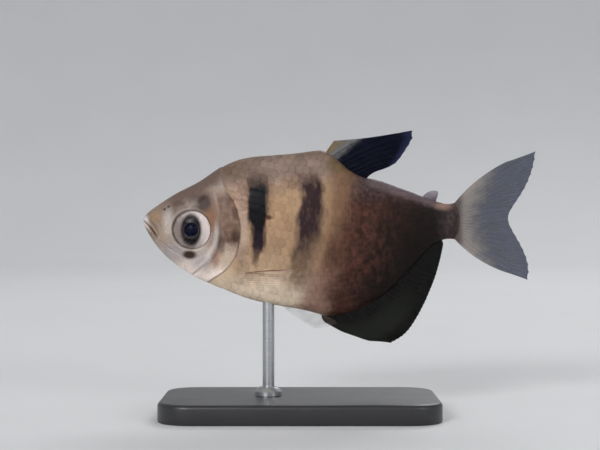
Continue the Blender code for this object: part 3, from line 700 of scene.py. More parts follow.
def head_colour(paint):
    """The bare head's markings, with painted shade in its slits, its nostrils and the groove behind the
    cheek's edge.
    """
    blotch = paint.noise(0.9, 1.5, shift=3.0) - 0.5
    fine = paint.noise(2.6, 3.0, shift=9.0) - 0.5
    x, z = paint.x + fine * 0.9, paint.z + blotch * 1.8
    gill, cheek, mouth = paint.mark("gill"), paint.mark("cheek"), paint.mark("mouth")
    wash = Wash(paint, THROAT)
    wash.lay(CHEEK, z.step(22.0, 27.0))
    wash.lay(SNOUT, x.step(-18.6, -20.6) * z.step(24.5, 26.5))
    wash.lay(PEARL, (blotch * 3.0 + fine).step(0.0, 1.4) * z.step(31.0, 28.0) * 0.5)
    wash.lay_spots(LILAC, 0.8, [((-19.2, 24.6), (2.6, 1.5), 0.75), ((-14.7, 23.2), (1.9, 1.5), 0.75)])
    brow = (x + 23.7) * 0.70 + 30.0 - z
    wash.lay(CROWN, brow.step(4.2, 1.4) * (x.step(-22.6, -18.5) * 0.5 + 0.44))
    wash.lay_spots(OCHRE, 0.8, [((-21.8, 30.1), (1.0, 0.8), 0.5), ((-22.0, 27.9), (0.5, 0.7), 0.35)])
    wash.lay_spots(CROWN, 0.8, [((-22.3, 28.1), (1.4, 2.0), 0.42)])
    wash.lay_spots(PEARL, 0.9, [((-19.9, 29.8), (0.7, 1.6), 0.36)])
    wash.lay_spots(ORANGE, 0.75, [((-13.4, 30.3), (1.35, 3.1), 0.88)])
    wash.lay_spots(SPOT, 0.45, FACE_SPOTS)
    cover = cheek.step(-0.1, 0.7) * gill.step(0.7, 0.2) * z.step(35.2, 32.6)
    wash.lay(COVER_LOW, cover * z.step(21.4, 23.6))
    cover = cover * (z + x * 0.5 + fine * 2.0).step(18.8, 22.2)
    wash.lay(COVER_PATCH, cover * (blotch * 0.9 + 0.96))
    wash.lay_spots(SPOT, 0.6, COVER_SPOTS)
    wash.lay_spots(RUST, 0.7, [((-12.7, 24.2), (0.6, 1.5), 0.6)])
    ridge = (cheek + 0.42).size().step(0.6, 0.1) * z.step(30.0, 27.5) * z.step(21.6, 23.5)
    wash.lay(PEARL, ridge * 0.34)
    # Painted shade in the groove behind the cheek's edge.
    line = (cheek - 0.24).size().step(0.4, 0.1) * z.step(32.4, 28.5) * z.step(21.6, 24.0)
    wash.lay(SPOT, line * 0.42)
    wash.lay(THROAT, mouth.step(0.7, 0.3) * paint.x.step(-22.4, -23.3) * 0.5)
    wash.lay_spots(LIP, 0.6, [((-23.55, 29.85), (0.5, 0.62), 0.9)])
    # Painted shade: the mouth's slit, the gill slot behind the cover and the nostrils are darkened.
    wash.lay(RECESS_SHADE, mouth.step(0.16, 0.04) * 0.6)
    wash.lay(RECESS_SHADE, (gill - 0.13).size().step(0.2, 0.05) * paint.z.step(34.6, 33.6) * 0.35)
    wash.lay_spots(RECESS_SHADE, 0.8, [(nostril, (0.17, 0.17), 0.6) for nostril in NOSTRILS])
    return wash.colour


skin_finish = Finish("wet_skin", Coat_Weight=0.06, Coat_Roughness=0.25, Specular_IOR_Level=0.15)
behind = skin_finish.mark("gill").step(-0.15, 0.3)
skin_colour = skin_finish.mix(head_colour(skin_finish), flank_colour(skin_finish), behind)
speckle = skin_finish.noise(4.5, 2.0, shift=11.0)
silver = skin_finish.mark("cheek").step(0.3, -0.3) * skin_finish.z.step(32.0, 28.0)
skin_finish.paint(
    Base_Color=skin_finish.shade(skin_colour, speckle * 0.6 + 0.70),
    Roughness=skin_finish.noise(1.4, 2.0) * 0.3 + 0.38,
    Metallic=skin_finish.noise(0.7, 2.0, shift=5.0).step(0.4, 0.7) * silver * 0.35,
)
skin_finish.relief(skin_finish.noise(6.0, 2.0), 0.03)

skin = build("skin", skin_points, skin_faces, skin_finish.material, marks=skin_marks)
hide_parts("head", "lower_jaw", "gill_cover_left", "gill_cover_right", "trunk", "tail_stalk")
print("skin faces:", len(skin.data.polygons))

# %% [markdown]
# ## Scales
# A tetra has some three dozen scales in a row from gill cover to tail, each a thin round plate that
# lies over the front of the next. The rows follow the lateral line, and the scales get smaller
# towards the tail.
# To lay them, the body's side is unrolled: a table gives the place at any x and at any distance along
# the skin from the lateral line, over the back and under the belly too.

# %% Unroll the side of the body
LATERAL_LINE = [(-14.0, 31.8), (-10.0, 31.0), (-4.0, 29.2), (3.0, 28.2), (12.0, 28.6), (24.4, 29.6)]
TABLE_X = np.linspace(-16.0, TAIL_X, 400)
TABLE_SHARES = np.linspace(0, 1, 200)
lateral = spread(LATERAL_LINE, 80)


def unroll():
    """For each x: the skin's length from keel to crown, where the lateral line lies on it, and its places."""
    turns = np.radians(np.linspace(270, 90, 400))
    half_rings = body_point(TABLE_X[:, None], turns[None, :])
    steps = np.linalg.norm(np.diff(half_rings[..., 1:], axis=1), axis=-1)
    run = np.concatenate([np.zeros((len(TABLE_X), 1)), np.cumsum(steps, axis=1)], axis=1)
    lengths = run[:, -1]
    line_z = np.interp(TABLE_X, lateral[:, 0], lateral[:, 1])
    line_run = [np.interp(line_z[i], half_rings[i, :, 2], run[i]) for i in range(len(TABLE_X))]
    places = []
    for i in range(len(TABLE_X)):
        places.append([np.interp(TABLE_SHARES, run[i] / lengths[i], half_rings[i, :, k]) for k in (1, 2)])
    return lengths, np.array(line_run), np.array(places)


SKIN_LENGTHS, LINE_RUN, SKIN_PLACES = unroll()


def along_skin(x, up):
    """How far from the keel a place lies along the skin, and the whole way from keel to crown."""
    return np.interp(x, TABLE_X, LINE_RUN) + up, np.interp(x, TABLE_X, SKIN_LENGTHS)


def on_skin(x, up):
    """The place at x, so far up the side from the lateral line. Past the ridge it is on the other side."""
    run, whole = along_skin(x, up)
    share = run / whole
    far = (share > 1) | (share < 0)
    share = np.where(share > 1, 2 - share, np.abs(share))
    row = np.clip((x - TABLE_X[0]) / (TABLE_X[1] - TABLE_X[0]), 0, len(TABLE_X) - 1.001)
    column = np.clip(share * (len(TABLE_SHARES) - 1), 0, len(TABLE_SHARES) - 1.001)
    i, j = row.astype(int), column.astype(int)
    f, g = (row - i)[..., None], (column - j)[..., None]
    near = SKIN_PLACES[i, :, j] * (1 - g) + SKIN_PLACES[i, :, j + 1] * g
    next_row = SKIN_PLACES[i + 1, :, j] * (1 - g) + SKIN_PLACES[i + 1, :, j + 1] * g
    place = near * (1 - f) + next_row * f
    return np.stack([x, np.where(far, -place[..., 0], place[..., 0]), place[..., 1]], axis=-1)


print("skin from keel to crown at x = 0, mm:", round(float(np.interp(0, TABLE_X, SKIN_LENGTHS)), 2))

# %% [markdown]
# Each scale is a closed plate: rings of points round its middle, a thin rim, and a flat underside
# sunk in the skin. Its hind edge is lifted so that it covers the next scale's front. In the coat's OFBake
# map a scale is a small patch at the place where it grows, because the closing export paints
# the coat through that map.

# %% Lay the scale coat
FRONT_PITCH, TAIL_PITCH = 1.08, 0.78
FRONT_HEIGHT, TAIL_HEIGHT = 1.30, 0.86
COAT_START, COAT_END, BEHIND_GILL = -15.5, 0.35, 0.62
LOWEST_ROW, HIGHEST_ROW = -14, 12
RIDGE_MARGIN = 0.12
SCALE_RINGS, SCALE_SIDES = (0.4, 0.75, 1.0), 14
PLATE_TOP, PLATE_UNDERSIDE, PLATE_SQUARE = 0.62, -0.35, 0.8
RIDGE_LIFT, RIDGE_FADE, LIFT_ROOM = 0.45, (0.2, 1.2), 0.02
LENGTH_SHARE, WIDTH_SHARE = 0.86, 0.60
SIZE_CHANCE, TURN_CHANCE, LIFT_CHANCE = 0.02, 0.035, 0.006
NEARBY = 0.05
BAKE_PATCH, BAKE_MARGIN = 0.003, 0.03


def eased(x, front, tail):
    """A size that shrinks along the body."""
    return front + (tail - front) * ramp(x, 0.0, 24.0)


def scale_centres():
    """Where each scale of one side grows: x and the distance up from the lateral line."""
    xs = [COAT_START]
    while xs[-1] < TAIL_X - COAT_END:
        xs.append(xs[-1] + eased(xs[-1], FRONT_PITCH, TAIL_PITCH))
    centres = []
    for row in range(LOWEST_ROW, HIGHEST_ROW + 1):
        for here, after in zip(xs, xs[1:]):
            x = here if row % 2 else (here + after) / 2
            height = eased(x, FRONT_HEIGHT, TAIL_HEIGHT)
            run, whole = along_skin(x, row * height)
            if not RIDGE_MARGIN * height < run < whole - RIDGE_MARGIN * height:
                continue
            place = on_skin(np.array(x), np.array(row * height))
            if past(place[0], place[2], GILL_EDGE) > BEHIND_GILL:
                centres.append((x, row * height))
    return np.array(centres)


def scale_plate():
    """One scale's points, in shares of its half length and half width, with its height and rim mark."""
    points = [(0.0, 0.0, PLATE_TOP, 0.0)]
    for ring in SCALE_RINGS:
        for k in range(SCALE_SIDES):
            turn = 2 * math.pi * k / SCALE_SIDES
            a = math.copysign(abs(math.cos(turn)) ** PLATE_SQUARE, math.cos(turn)) * ring
            b = math.copysign(abs(math.sin(turn)) ** PLATE_SQUARE, math.sin(turn)) * ring
            points.append((a, b, 0.5 + 0.5 * a - 0.22 * b * b, ring))
    points += [(a, b, PLATE_UNDERSIDE, ring) for a, b, height, ring in points[-SCALE_SIDES:]]
    faces = [(0, 1 + k, 1 + (k + 1) % SCALE_SIDES) for k in range(SCALE_SIDES)]
    faces += quads(len(SCALE_RINGS) + 1, SCALE_SIDES, ring=True, start=1)
    faces.append(list(range(len(points) - SCALE_SIDES, len(points))))
    return np.array(points), faces


def lay_scales(name, side, finish, seed):
    """The coat of one side as one mesh of overlapping plates."""
    chance = np.random.default_rng(seed)
    plate, plate_faces = scale_plate()
    centres = scale_centres()
    count = len(centres)
    x, up = centres[:, :1], centres[:, 1:]
    length = eased(x, FRONT_PITCH, TAIL_PITCH) * LENGTH_SHARE * chance.normal(1, SIZE_CHANCE, (count, 1))
    width = eased(x, FRONT_HEIGHT, TAIL_HEIGHT) * WIDTH_SHARE * chance.normal(1, SIZE_CHANCE, (count, 1))
    turn = chance.normal(0, TURN_CHANCE, (count, 1))
    a, b = plate[None, :, 0] * length, plate[None, :, 1] * width
    px = np.minimum(x + a * np.cos(turn) - b * np.sin(turn), TAIL_X)
    pu = up + a * np.sin(turn) + b * np.cos(turn)
    place = on_skin(px, pu)
    ahead, above = on_skin(px - NEARBY, pu), on_skin(px, pu + NEARBY)
    out = np.cross(place - ahead, above - place)
    out /= np.linalg.norm(out, axis=-1, keepdims=True)
    core = np.stack([px, 0 * px, 0 * px + SPINE], axis=-1)
    out *= np.sign(np.sum(out * (place - core), axis=-1, keepdims=True))
    run, whole = along_skin(px, pu)
    from_ridge = np.minimum(np.abs(run), np.abs(whole - run))
    flat = RIDGE_LIFT + (1 - RIDGE_LIFT) * ramp(from_ridge, *RIDGE_FADE)
    lift = plate[None, :, 2] * (COAT_DEPTH - LIFT_ROOM) * flat + chance.normal(0, LIFT_CHANCE, (count, 1))
    points = (place + out * (lift - COAT_DEPTH)[..., None]).reshape(-1, 3)
    points[:, 1] *= -side
    points = tail_curve(points)
    faces = [[i * len(plate) + k for k in face] for i in range(count) for face in plate_faces]
    tone = np.repeat(chance.uniform(0, 1, count), len(plate))
    marks = {"rim": np.tile(plate[:, 3], count), "tone": tone, "hind": np.tile(plate[:, 0], count)}
    coat = build(name, points, faces, finish, crease=50, marks=marks)
    patch = coat.data.uv_layers.new(name="OFBake")
    run, whole = along_skin(x, up)
    home = np.concatenate([(x - TABLE_X[0]) / (TAIL_X - TABLE_X[0]), run / whole], axis=1)
    home = home * (1 - 2 * BAKE_MARGIN) + BAKE_MARGIN
    spot = home[:, None, :] + plate[None, :, :2] * BAKE_PATCH / 2
    corners = np.empty(len(coat.data.loops), int)
    coat.data.loops.foreach_get("vertex_index", corners)
    patch.data.foreach_set("uv", spot.reshape(-1, 2)[corners].ravel())
    return coat


scale_finish = Finish("silver_scales", Coat_Weight=0.05, Coat_Roughness=0.22, Specular_IOR_Level=0.09)
rim = scale_finish.mark("rim").step(0.62, 1.0) * scale_finish.mark("hind").step(-0.2, 0.6)
silver = scale_finish.x.step(12.0, 4.0)
grain = scale_finish.noise(5.0, 2.0) * 0.3 + scale_finish.mark("tone") * 0.22 + 0.76
scale_finish.paint(
    Base_Color=scale_finish.shade(flank_colour(scale_finish), grain - rim * 0.12),
    Roughness=scale_finish.noise(1.4, 2.0) * 0.3 + 0.32,
    Metallic=scale_finish.noise(0.6, 2.0, shift=5.0).step(0.35, 0.7) * silver * 0.3,
)
scale_finish.relief(scale_finish.noise(7.0, 2.0, stretch=(0.4, 1.0, 1.0)), 0.02)

for side, name, seed in ((-1, "left", 3), (1, "right", 4)):
    coat = lay_scales(f"scales_{name}", side, scale_finish.material, seed)
    plates = len(coat.data.vertices) // len(scale_plate()[0])
    print(coat.name, "plates:", plates, "faces:", len(coat.data.polygons))

# %% [markdown]
# ## Eyes
# A fish's eye has no lids. It is a deep ball in a bony ring: a silver iris, a round blue-black pupil
# whose lens bulges out, and a clear cornea over both. The iris is dark in an upright oval round the
# pupil, in line with the spots above and below the eye. Each part is turned round the eye's own axis.

# %% Eyes
EYE_SUNK = 0.30
EYE_STEP = 0.4
IRIS_GREY, IRIS_SILVER = srgb(148, 135, 130), srgb(222, 210, 206)
DUSK, DUSK_REACH = srgb(26, 22, 27), (1.58, 2.45)
PUPIL_RING, PUPIL_RADIUS = srgb(150, 138, 128), 1.2
# Painted shadow of the eye socket's rim on the iris.
SOCKET_SHADOW = srgb(72, 60, 56)
PUPIL_DEEP, PUPIL_BLUE = srgb(3, 5, 24), srgb(6, 10, 36)
IRIS_BACK = [(2.88, -0.05), (2.7, -0.55), (2.2, -1.0), (1.3, -1.35), (0.0, -1.45)]
IRIS_FRONT = [(0.0, 0.12), (0.7, 0.2), (1.0, 0.34), (1.2, 0.42), (1.6, 0.4), (2.1, 0.3)]
IRIS_FRONT += [(2.5, 0.1), (2.8, -0.12)]
PUPIL_DOME = [(0.0, 0.66), (0.4, 0.62), (0.75, 0.5), (1.0, 0.34), (1.12, 0.2), (1.0, 0.1), (0.0, 0.05)]
CORNEA = [(0.0, 0.86), (0.5, 0.84), (1.0, 0.77), (1.5, 0.65), (2.0, 0.48), (2.45, 0.26), (2.78, 0.02)]
CORNEA += [(2.74, -0.02), (2.4, 0.2), (1.97, 0.42), (1.47, 0.59), (0.98, 0.71), (0.49, 0.78), (0.0, 0.8)]


def eye_axis(side):
    """The eye's centre and its outward, forward and upward directions."""
    x, z = EYE
    slope_x = (side_y(x + EYE_STEP, z) - side_y(x - EYE_STEP, z)) / (2 * EYE_STEP)
    slope_z = (side_y(x, z + EYE_STEP) - side_y(x, z - EYE_STEP)) / (2 * EYE_STEP)
    out = np.array([-slope_x, side, -slope_z])
    out /= np.linalg.norm(out)
    up = np.array([0.0, 0.0, 1.0]) - out[2] * out
    up /= np.linalg.norm(up)
    centre = np.array([x, side * side_y(x, z), z]) - EYE_SUNK * out
    return centre, out, np.cross(up, out), up


def turn_about(profile, axes, sides=72):
    """Points and faces of a lathe shape, from (radius, height) pairs. Axes start with its centre."""
    centre, out, across, up = axes
    points, rings = [], []
    for radius, height in profile:
        count = 1 if radius == 0 else sides
        rings.append(list(range(len(points), len(points) + count)))
        for k in range(count):
            turn = 2 * math.pi * k / sides
            points.append(centre + out * height + radius * (math.cos(turn) * across + math.sin(turn) * up))
    faces = []
    for a, b in zip(rings, rings[1:]):
        for k in range(sides):
            corners = [a[k % len(a)], a[(k + 1) % len(a)], b[(k + 1) % len(b)], b[k % len(b)]]
            faces.append(list(dict.fromkeys(corners)))
    return points, faces


iris_finish = Finish("silver_iris", Metallic=0.2, Specular_IOR_Level=0.15)
behind, above, away = iris_finish.away_from(EYE)
fibres = iris_finish.noise(1.6, 3.0, shift=2.0)
lit = (behind * 0.3 + above * 0.12 + fibres).step(0.0, 1.15)
iris = Wash(iris_finish, iris_finish.mix(IRIS_GREY, IRIS_SILVER, lit))
iris.lay(DUSK, iris_finish.spot(EYE, DUSK_REACH, 0.2) * (fibres * 0.4 + 0.82))
iris.lay(PUPIL_RING, (away - PUPIL_RADIUS).size().step(0.12, 0.03) * 0.1)
# Painted shadow of the socket's rim on the iris's outer edge, except at the back.
socket_shade = (iris_finish.noise(0.8, 2.0) * 0.5 + away).step(2.75, 3.05) * behind.step(2.6, -0.6)
iris.lay(SOCKET_SHADOW, socket_shade * 0.8)
threads = iris_finish.noise(2.4, 4.0, stretch=(1.0, 1.0, 0.5), shift=6.0) * 0.5 + 0.66
iris_finish.paint(Base_Color=iris_finish.shade(iris.colour, threads), Roughness=fibres * 0.3 + 0.3)
iris_finish.relief(iris_finish.noise(5.0, 2.0), 0.03)

SHINE = {"Specular_IOR_Level": 0.02, "Coat_Weight": 0.12, "Coat_Roughness": 0.1}
pupil_finish = Finish("black_pupil", Roughness=0.3, **SHINE)
pupil_finish.paint(Base_Color=pupil_finish.mix(PUPIL_DEEP, PUPIL_BLUE, pupil_finish.noise(0.8, 1.0)))

WET = {"Roughness": 0.1, "Specular_IOR_Level": 0.5}
cornea_finish = Finish("clear_cornea", Base_Color=srgb(8, 8, 10), **WET)
inner = cornea_finish.away_from(EYE)[2].step(2.7, 1.7)
cornea_finish.paint(Alpha=(cornea_finish.noise(0.4, 1.0) * 0.02 + 0.03) * inner)

for side, name in ((-1, "left"), (1, "right")):
    axes = eye_axis(side)
    eyeball = build(f"eyeball_{name}", *turn_about(IRIS_FRONT + IRIS_BACK, axes), iris_finish.material)
    pupil = build(f"pupil_{name}", *turn_about(PUPIL_DOME, axes), pupil_finish.material)
    cornea = build(f"cornea_{name}", *turn_about(CORNEA, axes), cornea_finish.material)
    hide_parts(f"eye_{name}")
print("eye centre, mm:", np.round(eye_axis(-1)[0], 2))

# %% [markdown]
# ## Fins
# A fin is a skin thinner than paper, stretched over rays that fork and fork again towards the edge.
# Here it is one closed sheet: a fine grid whose two faces move apart where a ray runs. Each fin follows
# the same roots, tips and bow as its CAD solid. Its points carry marks for the finish: how much ray
# there is, how far out along the fin they lie, and how far from the first ray to the last.

# %% One way to make every fin
WEB_THICK, WEB_THINS = 0.09, 0.5
RAY_THINS, RAY_WIDE, RAY_TAPER = 0.72, 0.13, 0.05
FORK_APART, TWIGS_APART = 0.24, 0.1
JOINT_LENGTH, JOINT_DEPTH = 0.42, 0.12
NOTCH_DEPTH = 0.009
WAVE_TURN, WAVE_START, WAVE_OUT = 0.9, 1.0, 2.4


def between(u, ends):
    """Places between the rays' ends, straight from one to the next."""
    ends = np.asarray(ends, float)
    return np.stack([np.interp(u, np.arange(len(ends)), ends[:, k]) for k in (0, 1)], axis=-1)


def upright(line, offset):
    """Places a fin that stands in the body's middle plane."""
    return np.stack([line[..., 0], offset, line[..., 1]], axis=-1)


def ray_ridges(u, along, gap, split, simple, lead):
    """How much ray there is at each point of the grid, from 0 on the web to 1 on a ray."""
    nearest = np.round(u)[:, None]
    apart = u[:, None] - nearest
    forked = nearest >= simple
    fork = ramp(along, split, 1.0) * FORK_APART * forked
    again = ramp(along, 0.5 + split / 2, 1.0) * TWIGS_APART * forked
    narrow = (RAY_WIDE - RAY_TAPER * along) * np.clip(gap, 0.45, 1.0) * (1 + lead * (nearest == 0))
    ridge = 0 * gap
    for branch in (-1, 1):
        for twig in (-1, 1):
            middle = branch * fork + twig * again
            ridge = np.maximum(ridge, bump((apart - middle) * gap, narrow))
    return ridge


def fin_sheet(
    name, shape, finish, place=upright, rays=0.30, split=0.45, simple=1, lead=0.0, ripple=0.12, grid=(12, 60)
):
    """
    A fin's closed sheet. The shape is its rays' roots, tips and bows, and rays is their thickness. The
    first simple rays don't fork, split says how far out the others do, and lead makes the first ray so
    much wider. The grid has so many steps from ray to ray and rows from root to tip.
    """
    fine, rows = grid
    roots, tips, bows = shape
    count = len(roots)
    u = np.linspace(0, count - 1, (count - 1) * fine + 1)
    root, tip = between(u, roots), between(u, tips)
    bow = np.interp(u, np.arange(count), bows)
    along = np.linspace(0, 1, rows)[None, :]
    run = tip - root
    length = np.linalg.norm(run, axis=1)
    across = np.stack([-run[:, 1], run[:, 0]], axis=-1) / length[:, None]
    rim_gap = np.linalg.norm(np.gradient(tip, axis=0), axis=1) * fine
    root_gap = np.linalg.norm(np.gradient(root, axis=0), axis=1) * fine
    gap = root_gap[:, None] * (1 - along) + rim_gap[:, None] * along
    joints = np.cos(along * length[:, None] * 2 * np.pi / JOINT_LENGTH) ** 2
    ridge = ray_ridges(u, along, gap, split, simple, lead) * (1 - JOINT_DEPTH + JOINT_DEPTH * joints)
    at_ray = np.maximum(0, np.cos(2 * np.pi * (u - np.round(u))))
    notch = (NOTCH_DEPTH * (1 - at_ray) * ramp(length, 1.0, 4.0))[:, None]
    reach = along * (1 - notch * along**6)
    line = root[:, None, :] + run[:, None, :] * reach[..., None]
    line = line + across[:, None, :] * (bow[:, None] * 4 * along * (1 - along))[..., None]
    web = WEB_THICK * (1 - WEB_THINS * along)
    thick = web + (rays * (1 - RAY_THINS * along) - web) * ridge
    wave = np.sin(u * WAVE_TURN + WAVE_START)[:, None] * np.cos(along * WAVE_OUT)
    wave = ripple * ramp(along, 0.1, 1.0) * wave
    points = np.concatenate([place(line, wave + side * thick / 2).reshape(-1, 3) for side in (1, -1)])
    marks = {"ray": ridge, "out": along + 0 * ridge, "row": u[:, None] / (count - 1) + 0 * ridge}
    marks = {mark: np.tile(values.ravel(), 2) for mark, values in marks.items()}
    return build(name, points, sheet_faces(len(u), rows), finish, marks=marks)


# %% [markdown]
# The tail is clear and grey-blue, a little paler along the rays, and it has a cream crescent at its
# root. The dorsal fin and the skirt are black where they are thickest and smoky at the edge. All of them
# let some light through, so their finishes drive Alpha by the rays and by how far out a place is. A set
# below starts with the colours of web and rays. How far each covers what is behind comes after them.

# %% Fin finishes
GREY_BLUE = (srgb(62, 66, 80), srgb(82, 84, 94), 0.72, 0.88)
CRESCENT, TAIL_EDGE = srgb(150, 142, 134), srgb(84, 88, 108)
BLACK = (srgb(14, 12, 11), srgb(10, 9, 9), 0.95, 0.99, 0.08)
GREEN_BLACK = srgb(20, 26, 19)
BLUE_BLACK = (srgb(4, 7, 25), srgb(2, 3, 12), 0.95, 0.99, 0.06)
SAIL_GREY, SAIL_SPINE, SAIL_EDGE = srgb(62, 58, 58), srgb(112, 92, 56), srgb(30, 36, 76)
CREAM_FIN = (srgb(196, 180, 170), srgb(164, 138, 118))
SMOKY_FIN = (srgb(92, 80, 74), srgb(104, 84, 72))
LEADING_BROWN = srgb(122, 78, 50)
FLAP_BROWN, FLAP_EDGE = srgb(84, 74, 78), srgb(132, 124, 136)


def fin_finish(name, web_colour, ray_colour, web_cover, ray_cover, gloss=0.25):
    """A thin wet membrane: its colour and its cover run from web to ray."""
    finish = Finish(name, Specular_IOR_Level=gloss, Coat_Weight=gloss / 4, Coat_Roughness=0.2)
    ray, out = finish.mark("ray"), finish.mark("out")
    cloud = finish.noise(0.8, 3.0) - 0.5
    wash = Wash(finish, finish.mix(web_colour, ray_colour, ray))
    cover = ray * (ray_cover - web_cover) + web_cover + cloud * 0.12
    return finish, wash, cover, ray, out, cloud


tail, wash, cover, ray, out, cloud = fin_finish("tail_membrane", *GREY_BLUE)
crescent = (tail.x + cloud * 3.0 - (tail.z - TAIL_MIDDLE).size() * 0.35).step(28.6, 24.2)
wash.lay(CRESCENT, crescent * 0.75)
wash.lay(STALK, tail.x.step(25.3, 24.2) * 0.8)
wash.lay(TAIL_EDGE, (cloud * 3.0 + out).step(0.4, 1.2) * 0.4)
tail.paint(Base_Color=wash.colour, Alpha=cover + crescent * 0.3, Roughness=cloud * 0.2 + 0.42)
tail.relief(ray, 0.02)

skirt, wash, cover, ray, out, cloud = fin_finish("skirt_membrane", *BLACK)
window = (skirt.mark("row") - 0.25).size().step(0.42, 0.1) * (out - 0.6).size().step(0.34, 0.1)
wash.lay(GREEN_BLACK, window * (cloud * 2.0 + 0.7 - ray * 0.5))
skirt.paint(Base_Color=wash.colour, Alpha=cover - window * 0.05, Roughness=cloud * 0.2 + 0.5)
skirt.relief(ray, 0.008)

sail, wash, cover, ray, out, cloud = fin_finish("sail_membrane", *BLUE_BLACK)
front = (sail.x - (sail.z - 38.8) * 1.1 + cloud * 2.0).step(6.5, 4.3)
wash.lay(SAIL_GREY, front * 0.85)
spine = sail.mark("row").step(0.07, 0.02)
wash.lay(SAIL_SPINE, spine)
fade = out.step(0.84, 1.0)
glassy = front * (0.42 - ray * 0.25 - spine * 0.15)
wash.lay(SAIL_EDGE, fade * 0.6)
sail.paint(Base_Color=wash.colour, Alpha=cover - glassy - fade * 0.12, Roughness=cloud * 0.2 + 0.48)
sail.relief(ray, 0.03)


def clear_finish(name, colours, edge, ray_cover):
    """Glassy fin skin with a brown leading ray, as strong as edge says."""
    finish, wash, cover, ray, out, cloud = fin_finish(name, *colours, 0.04, ray_cover)
    leading = finish.mark("row").step(0.14, 0.02) * out.step(1.05, 0.7) * edge
    wash.lay(LEADING_BROWN, leading)
    finish.paint(Base_Color=wash.colour, Alpha=cover + leading * 0.8, Roughness=cloud * 0.2 + 0.4)
    finish.relief(ray, 0.01)
    return finish.material


pectoral_skin = clear_finish("pectoral_membrane", CREAM_FIN, 1.0, 0.17)
pelvic_skin = clear_finish("pelvic_membrane", SMOKY_FIN, 0.2, 0.11)

flap = Finish("flap_skin", Specular_IOR_Level=0.25, Coat_Weight=0.06, Coat_Roughness=0.2)
edge = (flap.z + flap.noise(2.0, 2.0)).step(33.0, 34.6)
flap.paint(Base_Color=flap.mix(FLAP_BROWN, FLAP_EDGE, edge))
flap.paint(Alpha=flap.z.step(34.6, 33.2) * 0.4 + 0.5)
flap.relief(flap.noise(5.0), 0.02)

# %% [markdown]
# Three fins stand in the body's middle plane. The dorsal fin leans back like a sail, the anal fin is the
# long skirt that gives the fish its name, and the tail is forked. Each is given by its rays' roots and
# tips. The tips' line is the fin's outline in the photo, and the bows say how far its rays curve.

# %% Middle fins
ROOT_SUNK = 1.3
DORSAL_BASE = [(3.25, 40.1), (5.0, 38.7), (7.2, 37.2), (9.5, 36.25)]
DORSAL_FRONT = [(5.2, 41.8), (10.6, 42.3)]
DORSAL_REAR = [(17.15, 43.4), (17.2, 42.3), (16.5, 41.0), (15.5, 39.5), (14.5, 38.35), (13.0, 37.6)]
DORSAL_REAR += [(11.4, 37.1)]
DORSAL_RAYS = 11
ANAL_FRONT = [(5.3, 13.75), (7.7, 12.35), (10.6, 11.3)]
ANAL_REAR = [(13.9, 11.0), (16.4, 12.75), (18.7, 16.4), (20.4, 20.3), (21.4, 23.6), (21.9, 26.1)]
ANAL_SPAN = (3.5, 21.4)
ANAL_RAYS = 30
CAUDAL_ROOT = [(23.3, 31.9), (23.6, 29.5), (23.4, 27.1)]
CAUDAL_TOP = (31.5, 38.6)
CAUDAL_BOTTOM = (31.2, 21.85)
CAUDAL_REAR = [(36.25, 40.3), (35.9, 38.0), (34.7, 34.9), (32.7, 31.8), (31.95, 29.9), (32.8, 27.9)]
CAUDAL_REAR += [(34.4, 25.0), (35.2, 22.4), (35.0, 20.55)]
CAUDAL_RAYS = 21

roots = spread(DORSAL_BASE, DORSAL_RAYS) + np.array([0.0, -ROOT_SUNK])
tips = np.concatenate([DORSAL_FRONT, spread(DORSAL_REAR, DORSAL_RAYS - 2)])
bows = [0.1, 0.5] + [0.9 * (1 - i / DORSAL_RAYS) for i in range(DORSAL_RAYS - 2)]
dorsal = fin_sheet("dorsal_fin_sheet", (roots, tips, bows), sail.material, simple=3, lead=0.8)
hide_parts("dorsal_fin")

roots = np.array([(x, section(x)[1] + ROOT_SUNK) for x in np.linspace(*ANAL_SPAN, ANAL_RAYS)])
tips = np.concatenate([ANAL_FRONT, spread(ANAL_REAR, ANAL_RAYS - 3)])
bows = [-1.1 * (1 - i / (ANAL_RAYS - 1)) for i in range(ANAL_RAYS)]
shape = (roots, tips, bows)
anal = fin_sheet("anal_fin_sheet", shape, skirt.material, rays=0.17, simple=4, grid=(10, 60))
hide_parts("anal_fin")

roots = spread(CAUDAL_ROOT, CAUDAL_RAYS)
tips = np.concatenate([[CAUDAL_TOP], spread(CAUDAL_REAR, CAUDAL_RAYS - 2), [CAUDAL_BOTTOM]])
bows = [0.6 - 1.2 * i / (CAUDAL_RAYS - 1) for i in range(CAUDAL_RAYS)]
caudal = fin_sheet("tail_fin_sheet", (roots, tips, bows), tail.material, rays=0.34, split=0.3)
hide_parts("caudal_fin")
print("fin faces:", {fin.name: len(fin.data.polygons) for fin in (dorsal, anal, caudal)})

# %% [markdown]
# The adipose fin is a small flap of flesh between the dorsal fin and the tail. It has no rays, so it
# is a soft leaf: an outline swept to a thin edge, thicker where it grows from the back.

# %% Adipose fin
ADIPOSE = [(18.6, 33.1), (19.2, 33.8), (20.2, 34.2), (21.0, 34.12), (21.05, 33.5), (20.8, 32.7)]
ADIPOSE_ROOT = [(18.4, 32.4), (20.7, 31.95)]
ADIPOSE_THICK = 0.5


def leaf(edge, root, thick, columns=41, layers=10):
    """A closed leaf between a root line and an outer edge, thinning outwards."""
    edge = spread(edge, columns)
    shares = np.linspace(0, 1, columns)[:, None]
    base = np.array(root[0]) * (1 - shares) + np.array(root[1]) * shares
    out = np.linspace(0, 1, layers)[None, :, None]
    line = base[:, None, :] * (1 - out) + edge[:, None, :] * out
    ends = np.sqrt(np.sin(np.pi * np.clip(shares, 0.02, 0.98)))
    half = thick / 2 * np.sqrt(np.maximum(0.02, 1 - out[..., 0] ** 2)) * ends
    points = np.concatenate([upright(line, sign * half).reshape(-1, 3) for sign in (1, -1)])
    return points, sheet_faces(columns, layers)


